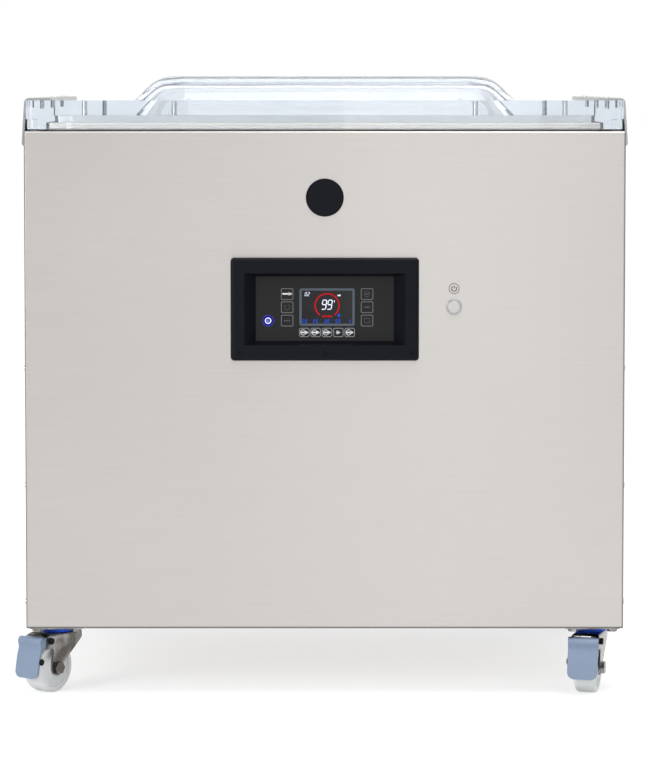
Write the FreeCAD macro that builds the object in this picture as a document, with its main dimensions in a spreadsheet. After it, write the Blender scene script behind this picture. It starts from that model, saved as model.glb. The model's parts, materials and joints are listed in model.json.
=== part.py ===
import FreeCAD, Part
import math
import os
import Sketcher
from FreeCAD import Placement, Rotation, Vector

# A floor-standing chamber vacuum sealer on castors. Millimetres; X to the right, front towards -Y, Z up.
# The origin is on the floor under the middle of the cabinet.

doc = FreeCAD.newDocument("chamber_vacuum_sealer")
sheet = doc.addObject("Spreadsheet::Sheet", "Dims")

SIZES = [
    # Cabinet
    ("body_width", 950, "outside of one side panel to the other"),
    ("body_depth", 720, "front face to the rear flanges"),
    ("body_height", 790, "underside to the top of the panels"),
    ("castor_height", 108, "floor to the underside of the cabinet"),
    ("panel_sheet", 2, "thickness of the outer panels"),
    ("panel_bend", 3, "outside radius of a panel bend"),
    ("front_return", 30, "depth of the front panel's side flanges"),
    ("top_return", 18, "reach of the panel flanges over the deck"),
    ("side_return", 24, "reach of the side panels' rear flanges"),
    ("tongue_margin", 6, "edge of the tongue behind the front face"),
    ("tongue_overlap", 14, "tongue behind the side panel's own face"),
    ("tray_sheet", 3, "thickness of the base tray"),
    ("tray_lip", 30, "height of the tray's lips"),
    ("fit_clear", 0.3, "gap between pieces that may not touch"),
    ("running_clear", 0.05, "radial gap of a running fit"),
    ("hole_clear", 0.2, "radial gap of a screw hole"),
    # Rear panel
    ("rear_cover_margin", 8, "edge of the rear cover inside the cabinet's edge"),
    ("louvre_length", 180, "length of one vent slot"),
    ("louvre_height", 7, "height of one vent slot"),
    ("louvre_pitch", 22, "step from one vent slot to the next"),
    ("louvre_spread", 250, "middle of the cabinet to the middle of a vent column"),
    ("louvre_rise", 250, "underside of the cabinet to the lowest slot"),
    ("gland_x", 330, "cable gland right of the middle"),
    ("gland_rise", 90, "cable gland above the underside"),
    ("gland_radius", 10, "thread of the cable gland"),
    ("gland_bore", 4.5, "bore for the cable"),
    ("gland_length", 20, "reach of the gland outside the panel"),
    ("gland_flange", 14, "radius of the gland's hexagon"),
    # Vacuum chamber
    ("chamber_side_margin", 44, "side of the cabinet to the chamber wall"),
    ("chamber_front_margin", 38, "front face to the chamber wall"),
    ("chamber_rear_margin", 80, "rear flange to the chamber wall"),
    ("chamber_depth", 205, "deck to the chamber floor"),
    ("chamber_sheet", 3, "thickness of the chamber and the deck"),
    ("chamber_corner", 40, "inside radius of the chamber's upright corners"),
    ("chamber_floor_round", 13, "inside radius round the chamber floor"),
    ("port_radius", 18, "suction hole in the chamber floor"),
    ("port_cover_radius", 38, "perforated cover over the suction hole"),
    ("port_cover_height", 8, "height of that cover"),
    ("port_seat", 0.6, "depth of the seats of that cover and the lift cylinders"),
    # Lid
    ("lid_setback", 14, "front face to the front of the lid"),
    ("lid_rear_margin", 54, "rear flange to the rear of the lid"),
    ("lid_side_gap", 1.5, "lid inside the cabinet's side"),
    ("lid_thickness", 45.5, "thickness of the lid's flange"),
    ("lid_gap", 3, "panel top to the underside of the lid"),
    ("lid_step", 2, "inset of the lower band of the lid's edge"),
    ("lid_step_height", 16, "height of that band"),
    ("lid_corner", 12, "radius of the lid's upright corners"),
    ("lid_web", 24, "acrylic over the seal bars"),
    ("lid_wall", 18, "acrylic of the dome"),
    ("dome_width", 622, "width of the dome at the flange"),
    ("dome_length", 430, "length of the dome at the flange"),
    ("dome_height", 38.5, "dome above the flange"),
    ("dome_slope", 45, "slope of the dome's walls in degrees"),
    ("dome_corner", 90, "radius of the dome's corners in plan"),
    ("dome_round", 60, "radius along the dome's top edge"),
    ("gasket_offset", 3, "chamber wall to the gasket"),
    ("gasket_width", 11, "width of the gasket's groove"),
    ("gasket_groove", 10, "depth of the gasket's groove"),
    # Seal bars
    ("bar_inset", 30, "chamber wall to the middle of a seal bar"),
    ("bar_end_gap", 45, "end of a seal bar to the chamber wall"),
    ("counter_end_gap", 7, "end of a counter bar to the chamber wall"),
    ("bar_width", 22, "width of a seal bar"),
    ("bar_height", 34, "height of a seal bar"),
    ("bar_travel", 8, "lift of a seal bar"),
    ("tape_width", 10, "width of the sealing edge on a bar"),
    ("tape_height", 1.2, "height of the sealing edge"),
    ("lift_spacing", 600, "one lift cylinder to the other"),
    ("lift_radius", 16, "outside radius of a lift cylinder"),
    ("lift_rod_radius", 8, "radius of a lift rod"),
    ("lift_rod_length", 60, "lift rod below the bar"),
    ("counter_width", 26, "width of a counter bar"),
    ("counter_height", 12, "height of a counter bar"),
    ("silicone_width", 14, "width of the silicone strip"),
    ("silicone_height", 9, "height of the silicone strip"),
    ("silicone_seat", 2, "depth of the strip's groove"),
    ("counter_screw_radius", 4, "screws that hold the counter bars"),
    ("counter_screw_inner", 240, "middle to the inner screws"),
    ("counter_screw_outer", 383, "middle to the outer screws"),
    ("counter_screw_grip", 8, "screw inside the counter bar"),
    ("counter_screw_sink", 1.5, "screw head below the lid's top"),
    # Hinge
    ("shaft_radius", 10, "hinge shaft"),
    ("shaft_inset", 22, "rear flange to the hinge axis"),
    ("shaft_drop", 27, "underside of the deck to the hinge axis"),
    ("arm_sheet", 3.5, "thickness of a hinge arm"),
    ("arm_gap", 4, "side of the lid to the arm's web"),
    ("arm_splay", 5, "how far the web leans out on its way down"),
    ("arm_drop", 28, "underside of the lid to the arm's lower edge"),
    ("arm_flange", 34, "arm's flange on top of the lid"),
    ("arm_setback", 70, "front of the lid to the front of the arm"),
    ("arm_bend", 8, "outside radius of the arm's upper bend"),
    ("arm_lip_bend", 5, "outside radius of the bend above its lip"),
    ("arm_lip_gap", 3, "side panel to the end of the arm's lip"),
    ("arm_ear", 18, "radius of the arm round the hinge axis"),
    ("arm_screw_radius", 3, "screws through the arm's flange"),
    ("arm_screw_head", 5.5, "radius of their heads"),
    ("arm_screw_rise", 3, "height of their heads"),
    ("arm_screw_grip", 14, "screw inside the lid"),
    ("arm_screw_margin", 60, "end of the flange to the first screw"),
    ("shaft_cap", 15, "radius of the caps that hold the arms on"),
    ("shaft_cap_height", 5, "height of those caps"),
    ("bearing_width", 14, "width of a hinge bearing block"),
    ("bearing_wall", 9, "block round the shaft"),
    ("lid_opening", 55, "opening angle of the lid in degrees"),
    # Gas springs
    ("lever_x", 380, "middle to the lever on the shaft"),
    ("lever_radius", 28, "hinge axis to the lever's pin"),
    ("lever_sheet", 10, "thickness of the lever"),
    ("lever_hub", 16, "radius of the lever round the shaft"),
    ("lever_end", 8, "radius of the lever round its pin"),
    ("lever_pin", 5, "radius of the lever's pin"),
    ("eye_width", 11, "thickness of an eye"),
    ("eye_radius", 12.5, "outside radius of an eye"),
    ("eye_play", 3.6, "radial play of the pin in the upper eye"),
    ("gas_rod", 4, "radius of the gas spring's rod"),
    ("gas_rod_show", 12, "rod outside the cylinder, eye to cylinder"),
    ("gas_rod_engage", 60, "rod inside the cylinder"),
    ("gas_cylinder", 9, "radius of the gas spring's cylinder"),
    ("gas_cylinder_length", 100, "length of that cylinder"),
    ("bracket_sheet", 5, "thickness of the lower bracket"),
    # Control panel
    ("bezel_width", 298, "outside of the control bezel"),
    ("bezel_height", 163, "outside of the control bezel"),
    ("bezel_rise", 509, "underside of the cabinet to the bezel's middle"),
    ("bezel_proud", 9, "bezel in front of the panel"),
    ("bezel_round", 6, "radius of the bezel's edges"),
    ("bezel_wall", 3, "wall of the moulding"),
    ("opening_width", 255, "rim of the recess"),
    ("opening_height", 114, "rim of the recess"),
    ("recess_depth", 20, "rim to the floor of the recess"),
    ("keypad_width", 219, "keypad foil"),
    ("keypad_height", 103, "keypad foil"),
    ("keypad_sheet", 0.8, "thickness of the foil"),
    ("display_width", 88, "display window"),
    ("display_height", 60, "display window"),
    ("display_shift", 3.6, "display right of the middle"),
    ("display_lift", 2.6, "display above the bezel's middle"),
    ("display_sheet", 2, "thickness of the display window"),
    ("board_width", 190, "control board"),
    ("board_height", 84, "control board"),
    ("board_sheet", 1.6, "thickness of the control board"),
    ("post_length", 10, "posts that carry the control board"),
    ("post_radius", 4, "posts that carry the control board"),
    ("bezel_screw_spread", 136.5, "middle to the outer bezel screws"),
    ("bezel_screw_margin", 12.5, "lower edge of the bezel to its screws"),
    ("bezel_screw_radius", 2, "bezel screws"),
    ("bezel_screw_head", 3.6, "radius of their heads"),
    ("bezel_screw_rise", 1.2, "height of their heads"),
    ("bezel_screw_length", 16, "bezel screws below the head"),
    ("badge_radius", 30, "round badge"),
    ("badge_sheet", 2, "thickness of the badge"),
    ("badge_rise", 685.5, "underside of the cabinet to the badge's middle"),
    # Power button
    ("switch_x", 204.5, "button right of the middle"),
    ("switch_rise", 512.5, "underside of the cabinet to the button"),
    ("switch_collar", 12.4, "radius of the collar in front of the panel"),
    ("switch_collar_height", 2.5, "height of the collar"),
    ("switch_barrel", 11, "radius of the threaded barrel"),
    ("switch_barrel_length", 26, "barrel behind the panel's face"),
    ("switch_cap", 9.2, "radius of the button"),
    ("switch_proud", 2, "button in front of its collar"),
    ("switch_travel", 3, "stroke of the button"),
    ("switch_stem", 14, "length of the button"),
    # Panel screws
    ("screw_radius", 2.5, "panel screws"),
    ("screw_head", 5, "radius of their heads"),
    ("screw_rise", 2.4, "height of their heads"),
    ("screw_length", 9, "panel screws below the head"),
    ("screw_low", 41, "underside of the cabinet to the lowest side screw"),
    ("screw_pitch", 186.75, "one side screw to the next"),
    ("screw_setback", 14, "front face to the side screws"),
    ("rear_screw_margin", 60, "top and bottom of the cover to its outer screws"),
    # Castors
    ("castor_spread", 428, "middle to a swivel axis"),
    ("castor_inset", 62, "front face to the front swivel axes"),
    ("plate_width", 86, "castor plate"),
    ("plate_length", 105, "castor plate"),
    ("plate_sheet", 3, "castor plate"),
    ("plate_corner", 8, "corner radius of the plate"),
    ("bolt_spread", 31, "swivel axis to the bolts, sideways"),
    ("bolt_reach", 40, "swivel axis to the bolts, front to rear"),
    ("bolt_radius", 4, "castor bolts"),
    ("bolt_head", 7, "flat to flat half size of heads and nuts"),
    ("bolt_head_height", 5, "height of heads and nuts"),
    ("seal_height", 9, "dust seal ring"),
    ("seal_radius", 26, "outside of the dust seal ring"),
    ("seal_wall", 3, "wall of the dust seal ring"),
    ("boss_radius", 21, "bearing seat on the fork"),
    ("kingpin_radius", 6, "rivet on the swivel axis"),
    ("kingpin_head", 10, "head of that rivet"),
    ("kingpin_head_height", 4, "head of that rivet"),
    ("wheel_radius", 40, "castor wheel"),
    ("wheel_width", 34, "castor wheel"),
    ("wheel_round", 5, "edge of the tread"),
    ("wheel_dish", 5, "recess in the wheel's sides"),
    ("hub_radius", 15, "wheel hub"),
    ("wheel_gap", 2.5, "wheel to the inside of the fork"),
    ("hub_gap", 0.5, "hub to the inside of the fork"),
    ("trail", 26, "swivel axis to the axle"),
    ("fork_sheet", 3, "thickness of the fork"),
    ("fork_bend", 5, "outside radius of the fork's bends"),
    ("fork_back", 30, "swivel axis to the back of the fork"),
    ("fork_boss", 12.5, "half width of a leg at the axle"),
    ("fork_lobe", 54, "swivel axis to the front of the fork"),
    ("axle_radius", 6, "axle"),
    ("axle_head", 9, "flat to flat half size of the axle's ends"),
    ("axle_head_height", 6, "height of the axle's ends"),
    ("pedal_pivot_reach", 44, "swivel axis to the pedal's pin"),
    ("pedal_pivot_rise", 45, "axle to the pedal's pin"),
    ("pedal_pin", 3.5, "pedal's pin"),
    ("pedal_lug", 6.5, "pedal round its pin"),
    ("pedal_width", 49, "brake pedal"),
    ("pedal_reach", 77, "swivel axis to the pedal's tip"),
    ("pedal_tip_rise", 27, "floor to the pedal's tip"),
    ("pedal_sheet", 5, "thickness of the pedal's face"),
    ("swivel_front_left", 39, "rest angle of the front left castor"),
    ("swivel_front_right", 14.5, "rest angle of the front right castor"),
    ("swivel_rear_left", 165, "rest angle of the rear left castor"),
    ("swivel_rear_right", 118, "rest angle of the rear right castor"),
    # Vacuum pump and what goes with it
    ("mount_height", 25, "rubber mounts under the pump"),
    ("mount_radius", 18, "rubber mounts under the pump"),
    ("mount_margin", 30, "edge of the pump to a mount"),
    ("pump_left", 230, "middle of the cabinet to the pump's left end"),
    ("pump_length", 290, "pump block"),
    ("pump_width", 240, "pump block"),
    ("pump_height", 210, "pump block"),
    ("rib_sheet", 6, "cooling ribs"),
    ("rib_pitch", 34, "one rib to the next"),
    ("rib_reach", 12, "ribs above the block"),
    ("motor_radius", 92, "pump motor"),
    ("motor_length", 270, "pump motor"),
    ("cowl_length", 60, "fan cowl on the motor"),
    ("terminal_width", 100, "terminal box on the motor"),
    ("terminal_rise", 34, "terminal box above the motor"),
    ("filter_length", 95, "exhaust filter housing"),
    ("filter_margin", 18, "edge of the pump to the filter housing"),
    ("inlet_shift", 70, "right end of the pump to the inlet"),
    ("inlet_radius", 30, "inlet flange"),
    ("inlet_height", 26, "inlet flange above the pump"),
    ("hose_radius", 22, "outside of the suction hose"),
    ("hose_wall", 4, "wall of the suction hose"),
    ("hose_shift", 120, "side step of the hose"),
    ("port_flange", 30, "flange of the suction fitting"),
    ("port_flange_height", 6, "flange of the suction fitting"),
    ("spigot_length", 24, "spigot inside the hose"),
    ("valve_width", 120, "valve block under the chamber"),
    ("valve_length", 60, "valve block under the chamber"),
    ("valve_height", 40, "valve block under the chamber"),
    ("valve_gap", 60, "suction fitting to the valve block"),
    ("coil_radius", 16, "solenoid coils"),
    ("coil_height", 45, "solenoid coils"),
    ("transformer_width", 110, "sealing transformer"),
    ("transformer_length", 90, "sealing transformer"),
    ("transformer_height", 100, "sealing transformer"),
    ("transformer_margin", 60, "rear lip of the tray to the transformer"),
    ("transformer_side", 140, "left lip of the tray to the transformer"),
    ("winding_reach", 14, "windings in front of the core"),
]

for row, (alias, value, note) in enumerate(SIZES, start=1):
    sheet.set(f"A{row}", note)
    sheet.set(f"B{row}", str(value))
    sheet.setAlias(f"B{row}", alias)
doc.recompute()


class Size:
    """A length as a formula over the sheet's cells, kept with its present value."""

    def __init__(self, text, value):
        self.text = text
        self.value = value

    def __add__(self, other):
        other = as_size(other)
        return Size(f"({self.text} + {other.text})", self.value + other.value)

    def __sub__(self, other):
        other = as_size(other)
        return Size(f"({self.text} - {other.text})", self.value - other.value)

    def __mul__(self, other):
        other = as_size(other)
        return Size(f"({self.text} * {other.text})", self.value * other.value)

    def __truediv__(self, other):
        other = as_size(other)
        return Size(f"({self.text} / {other.text})", self.value / other.value)

    def __radd__(self, other):
        return as_size(other) + self

    def __rsub__(self, other):
        return as_size(other) - self

    def __rmul__(self, other):
        return as_size(other) * self

    def __neg__(self):
        return Size(f"(0 - {self.text})", -self.value)


class Sheet:
    """The sheet's cells by alias."""


D = Sheet()
for alias, value, note in SIZES:
    setattr(D, alias, Size(f"Dims.{alias}", float(value)))


def as_size(number):
    return number if isinstance(number, Size) else Size(f"({float(number)!r})", float(number))


def turned(function, angle):
    """Sine, cosine or tangent of an angle in degrees."""
    return Size(f"{function}({angle.text})", getattr(math, function)(math.radians(angle.value)))


def span(low, high):
    """The distance between two places, counted positive."""
    low = as_size(low)
    high = as_size(high)
    return high - low if high.value > low.value else low - high


def bind(thing, path, size):
    thing.setExpression(path, as_size(size).text)


# Each plane: its role in a body, the way its normal runs along the axis it leaves free.
PLANES = {"XY": ("XY_Plane", 1), "XZ": ("XZ_Plane", -1), "YZ": ("YZ_Plane", 1)}
SUBPARTS = {}


def new_body(label):
    """A body for one sub-part; a body may hold several solids where the pieces are identical."""
    body = doc.addObject("PartDesign::Body", label)
    body.Label = label
    body.AllowCompound = True
    SUBPARTS[label] = body
    return body


def rect(left, low, right, high, radius=None):
    corners = [(left, low), (right, low), (right, high), (left, high)]
    return corners if radius is None else [(a, b, radius) for a, b in corners]


def hexagon(a, b, flat):
    """A hexagon with `flat` from its middle to each flat side."""
    reach = as_size(flat) * (2 / math.sqrt(3))
    return [(a + reach * math.cos(math.radians(60 * k)), b + reach * math.sin(math.radians(60 * k)))
            for k in range(6)]


def pin_point(sketch, geometry, end, a, b):
    """Hold one end of a line, or a circle's middle, at a bound place in the sketch."""
    for kind, size in (("DistanceX", as_size(a)), ("DistanceY", as_size(b))):
        number = sketch.addConstraint(Sketcher.Constraint(kind, -1, 1, geometry, end, size.value))
        bind(sketch, f"Constraints[{number}]", size)


def unit(start, stop):
    """Direction of an edge that runs along a sketch axis."""
    step_a = as_size(stop[0]).value - as_size(start[0]).value
    step_b = as_size(stop[1]).value - as_size(start[1]).value
    long = max(abs(step_a), abs(step_b))
    return round(step_a / long), round(step_b / long)


def add_loop(sketch, corners):
    """A closed outline; a corner with a third entry is rounded and lies between edges along the axes."""
    points = []
    arcs = []
    for here in range(len(corners)):
        corner = corners[here]
        if len(corner) == 2:
            points.append([corner, corner])
            arcs.append(None)
            continue
        back = unit(corner, corners[here - 1])
        on = unit(corner, corners[(here + 1) % len(corners)])
        a, b, radius = corner
        radius = as_size(radius)
        points.append([(a + radius * back[0], b + radius * back[1]), (a + radius * on[0], b + radius * on[1])])
        arcs.append((radius, (a + radius * (back[0] + on[0]), b + radius * (back[1] + on[1]))))
    lines = []
    for here in range(len(corners)):
        start = points[here][1]
        stop = points[(here + 1) % len(corners)][0]
        ends = [Vector(as_size(p[0]).value, as_size(p[1]).value, 0) for p in (start, stop)]
        line = sketch.addGeometry(Part.LineSegment(*ends))
        lines.append(line)
        pin_point(sketch, line, 1, *start)
        if arcs[(here + 1) % len(corners)] is not None:
            pin_point(sketch, line, 2, *stop)
    for here in range(len(corners)):
        before = lines[here - 1]
        after = lines[here]
        if arcs[here] is None:
            sketch.addConstraint(Sketcher.Constraint("Coincident", before, 2, after, 1))
            continue
        radius, middle = arcs[here]
        first = [as_size(s).value for s in points[here][0]]
        last = [as_size(s).value for s in points[here][1]]
        centre = [as_size(s).value for s in middle]
        angle = [math.atan2(p[1] - centre[1], p[0] - centre[0]) for p in (first, last)]
        forward = (angle[1] - angle[0]) % (2 * math.pi) < math.pi
        begin, end = (angle[0], angle[1]) if forward else (angle[1], angle[0])
        circle = Part.Circle(Vector(centre[0], centre[1], 0), Vector(0, 0, 1), radius.value)
        arc = sketch.addGeometry(Part.ArcOfCircle(circle, begin, end))
        sketch.addConstraint(Sketcher.Constraint("Coincident", before, 2, arc, 1 if forward else 2))
        sketch.addConstraint(Sketcher.Constraint("Coincident", after, 1, arc, 2 if forward else 1))
        number = sketch.addConstraint(Sketcher.Constraint("Radius", arc, radius.value))
        bind(sketch, f"Constraints[{number}]", radius)


def add_circle(sketch, a, b, radius):
    radius = as_size(radius)
    middle = Vector(as_size(a).value, as_size(b).value, 0)
    circle = sketch.addGeometry(Part.Circle(middle, Vector(0, 0, 1), radius.value))
    pin_point(sketch, circle, 3, a, b)
    number = sketch.addConstraint(Sketcher.Constraint("Radius", circle, radius.value))
    bind(sketch, f"Constraints[{number}]", radius)


def draw(body, plane, at, loops=(), circles=(), shift=None):
    """A sketch on one of the body's own planes, moved to `at` along the axis the plane leaves free."""
    role, sign = PLANES[plane]
    sketch = body.newObject("Sketcher::SketchObject", f"{body.Name}_sketch")
    support = [f for f in body.Origin.OriginFeatures if f.Role == role][0]
    sketch.AttachmentSupport = [(support, "")]
    sketch.MapMode = "FlatFace"
    bind(sketch, "AttachmentOffset.Base.z", as_size(at) * sign)
    if shift is not None:
        bind(sketch, "AttachmentOffset.Base.x", shift[0])
        bind(sketch, "AttachmentOffset.Base.y", shift[1])
    for corners in loops:
        add_loop(sketch, corners)
    for a, b, radius in circles:
        add_circle(sketch, a, b, radius)
    return sketch


def pad(body, plane, start, stop, loops=(), circles=(), taper=None):
    """Material from `start` to `stop` along the axis the plane leaves free."""
    feature = body.newObject("PartDesign::Pad", f"{body.Name}_pad")
    feature.Profile = draw(body, plane, start, loops, circles)
    bind(feature, "Length", span(start, stop))
    feature.Reversed = (as_size(stop).value - as_size(start).value) * PLANES[plane][1] < 0
    if taper is not None:
        bind(feature, "TaperAngle", -taper)
    return feature


def pocket(body, plane, start, stop, loops=(), circles=(), taper=None):
    """The same as a pad, taken away."""
    feature = body.newObject("PartDesign::Pocket", f"{body.Name}_pocket")
    feature.Profile = draw(body, plane, start, loops, circles)
    bind(feature, "Length", span(start, stop))
    feature.Reversed = (as_size(stop).value - as_size(start).value) * PLANES[plane][1] > 0
    if taper is not None:
        bind(feature, "TaperAngle", -taper)
    return feature


def revolve(body, plane, at, corners, axis, shift=None):
    """A full turn of an outline about the sketch's own horizontal or upright axis."""
    feature = body.newObject("PartDesign::Revolution", f"{body.Name}_turn")
    sketch = draw(body, plane, at, [corners], shift=shift)
    feature.Profile = sketch
    feature.ReferenceAxis = (sketch, [axis])
    feature.Angle = 360
    return feature


def fillet(body, radius, points):
    """Round the edges that run nearest to the given points."""
    doc.recompute()
    before = body.Tip
    shape = before.Shape
    chosen = []
    for point in points:
        spot = Part.Vertex(Vector(*[as_size(p).value for p in point]))
        near = min(range(len(shape.Edges)), key=lambda k: shape.Edges[k].distToShape(spot)[0])
        name = f"Edge{near + 1}"
        if name not in chosen:
            chosen.append(name)
    feature = body.newObject("PartDesign::Fillet", f"{body.Name}_round")
    feature.Base = (before, chosen)
    bind(feature, "Radius", radius)
    return feature


def mirrored(label, source, normal):
    """The same piece on the other side."""
    twin = doc.addObject("Part::Mirroring", label)
    twin.Label = label
    twin.Source = source
    twin.Normal = normal
    SUBPARTS[label] = twin
    return twin


# Places that several sub-parts share.
half = D.body_width / 2
front = -D.body_depth / 2
rear = D.body_depth / 2
base = D.castor_height
top = base + D.body_height
deck = top - D.panel_sheet
under_deck = deck - D.chamber_sheet
inside = half - D.panel_sheet
inside_front = front + D.panel_sheet
inside_rear = rear - D.panel_sheet
tray_floor = base + D.tray_sheet

chamber_half = half - D.chamber_side_margin
chamber_front = front + D.chamber_front_margin
chamber_rear = rear - D.chamber_rear_margin
chamber_floor = deck - D.chamber_depth
under_chamber = chamber_floor - D.chamber_sheet

lid_half = half - D.lid_side_gap
lid_front = front + D.lid_setback
lid_rear = rear - D.lid_rear_margin
lid_low = top + D.lid_gap
lid_high = lid_low + D.lid_thickness
lid_ceiling = lid_high - D.lid_web
lid_middle = (lid_front + lid_rear) / 2

bar_rows = {"front": chamber_front + D.bar_inset, "rear": chamber_rear - D.bar_inset}
bar_half = chamber_half - D.bar_end_gap
counter_half = chamber_half - D.counter_end_gap
silicone_low = lid_ceiling - D.counter_height + D.silicone_seat - D.silicone_height
bar_top = silicone_low - D.bar_travel - D.fit_clear - D.tape_height
bar_low = bar_top - D.bar_height
lift_top = bar_low - D.fit_clear
lift_half = D.lift_spacing / 2

shaft_y = rear - D.shaft_inset
shaft_z = under_deck - D.shaft_drop
arm_top_x = lid_half + D.arm_gap
arm_low_x = arm_top_x + D.arm_splay
arm_low = lid_low - D.arm_drop
arm_front = lid_front + D.arm_setback
arm_rear = shaft_y + D.arm_ear
arm_flange_in = lid_half - D.arm_flange
arm_flange_top = lid_high + D.arm_sheet
arm_screw_x = lid_half - D.arm_flange / 2
arm_screw_rows = [arm_front + D.arm_screw_margin, (arm_front + lid_rear) / 2, lid_rear - D.arm_screw_margin]

lever_lean = D.lid_opening / 2
pin_y = shaft_y - D.lever_radius * turned("cos", lever_lean)
pin_z = shaft_z - D.lever_radius * turned("sin", lever_lean)
gas_high = pin_z - D.eye_radius - D.gas_rod_show
gas_low = gas_high - D.gas_cylinder_length
gas_foot = gas_low - D.eye_radius * 0.8

bezel_z = base + D.bezel_rise
bezel_front = front - D.bezel_proud
recess_floor = bezel_front + D.recess_depth
bezel_back = recess_floor + D.bezel_wall
bezel_low = bezel_z - D.bezel_height / 2
bezel_screw_z = bezel_low + D.bezel_screw_margin
bezel_screw_spots = [(-D.bezel_screw_spread, bezel_screw_z), (as_size(0), bezel_screw_z),
                     (D.bezel_screw_spread, bezel_screw_z)]
window_z = bezel_z + D.display_lift
switch_z = base + D.switch_rise
badge_z = base + D.badge_rise

screw_y = front + D.screw_setback
screw_rows = [base + D.screw_low + D.screw_pitch * k for k in range(3)]
rear_screw_x = half - (D.rear_cover_margin + D.side_return) / 2
rear_screw_rows = [base + D.rear_screw_margin, (base + deck) / 2, deck - D.rear_screw_margin]
gland_z = base + D.gland_rise

castor_y = rear - D.castor_inset
castor_spots = [(sx * D.castor_spread, sy * castor_y) for sy in (-1, 1) for sx in (-1, 1)]
bolt_spots = [(x + sx * D.bolt_spread, y + sy * D.bolt_reach)
              for x, y in castor_spots for sx in (-1, 1) for sy in (-1, 1)]
plate_low = base - D.plate_sheet
seal_low = plate_low - D.seal_height
crown_top = seal_low - D.fit_clear
crown_low = crown_top - D.fork_sheet
fork_inside = D.wheel_width / 2 + D.wheel_gap
fork_outside = fork_inside + D.fork_sheet

pump_low = tray_floor + D.mount_height
pump_high = pump_low + D.pump_height
pump_right = D.pump_length - D.pump_left
pump_axis = pump_low + D.pump_height / 2
inlet_x = pump_right - D.inlet_shift
inlet_top = pump_high + D.rib_reach + D.inlet_height
port_x = inlet_x + D.hose_shift
port_low = under_chamber - D.port_flange_height


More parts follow.
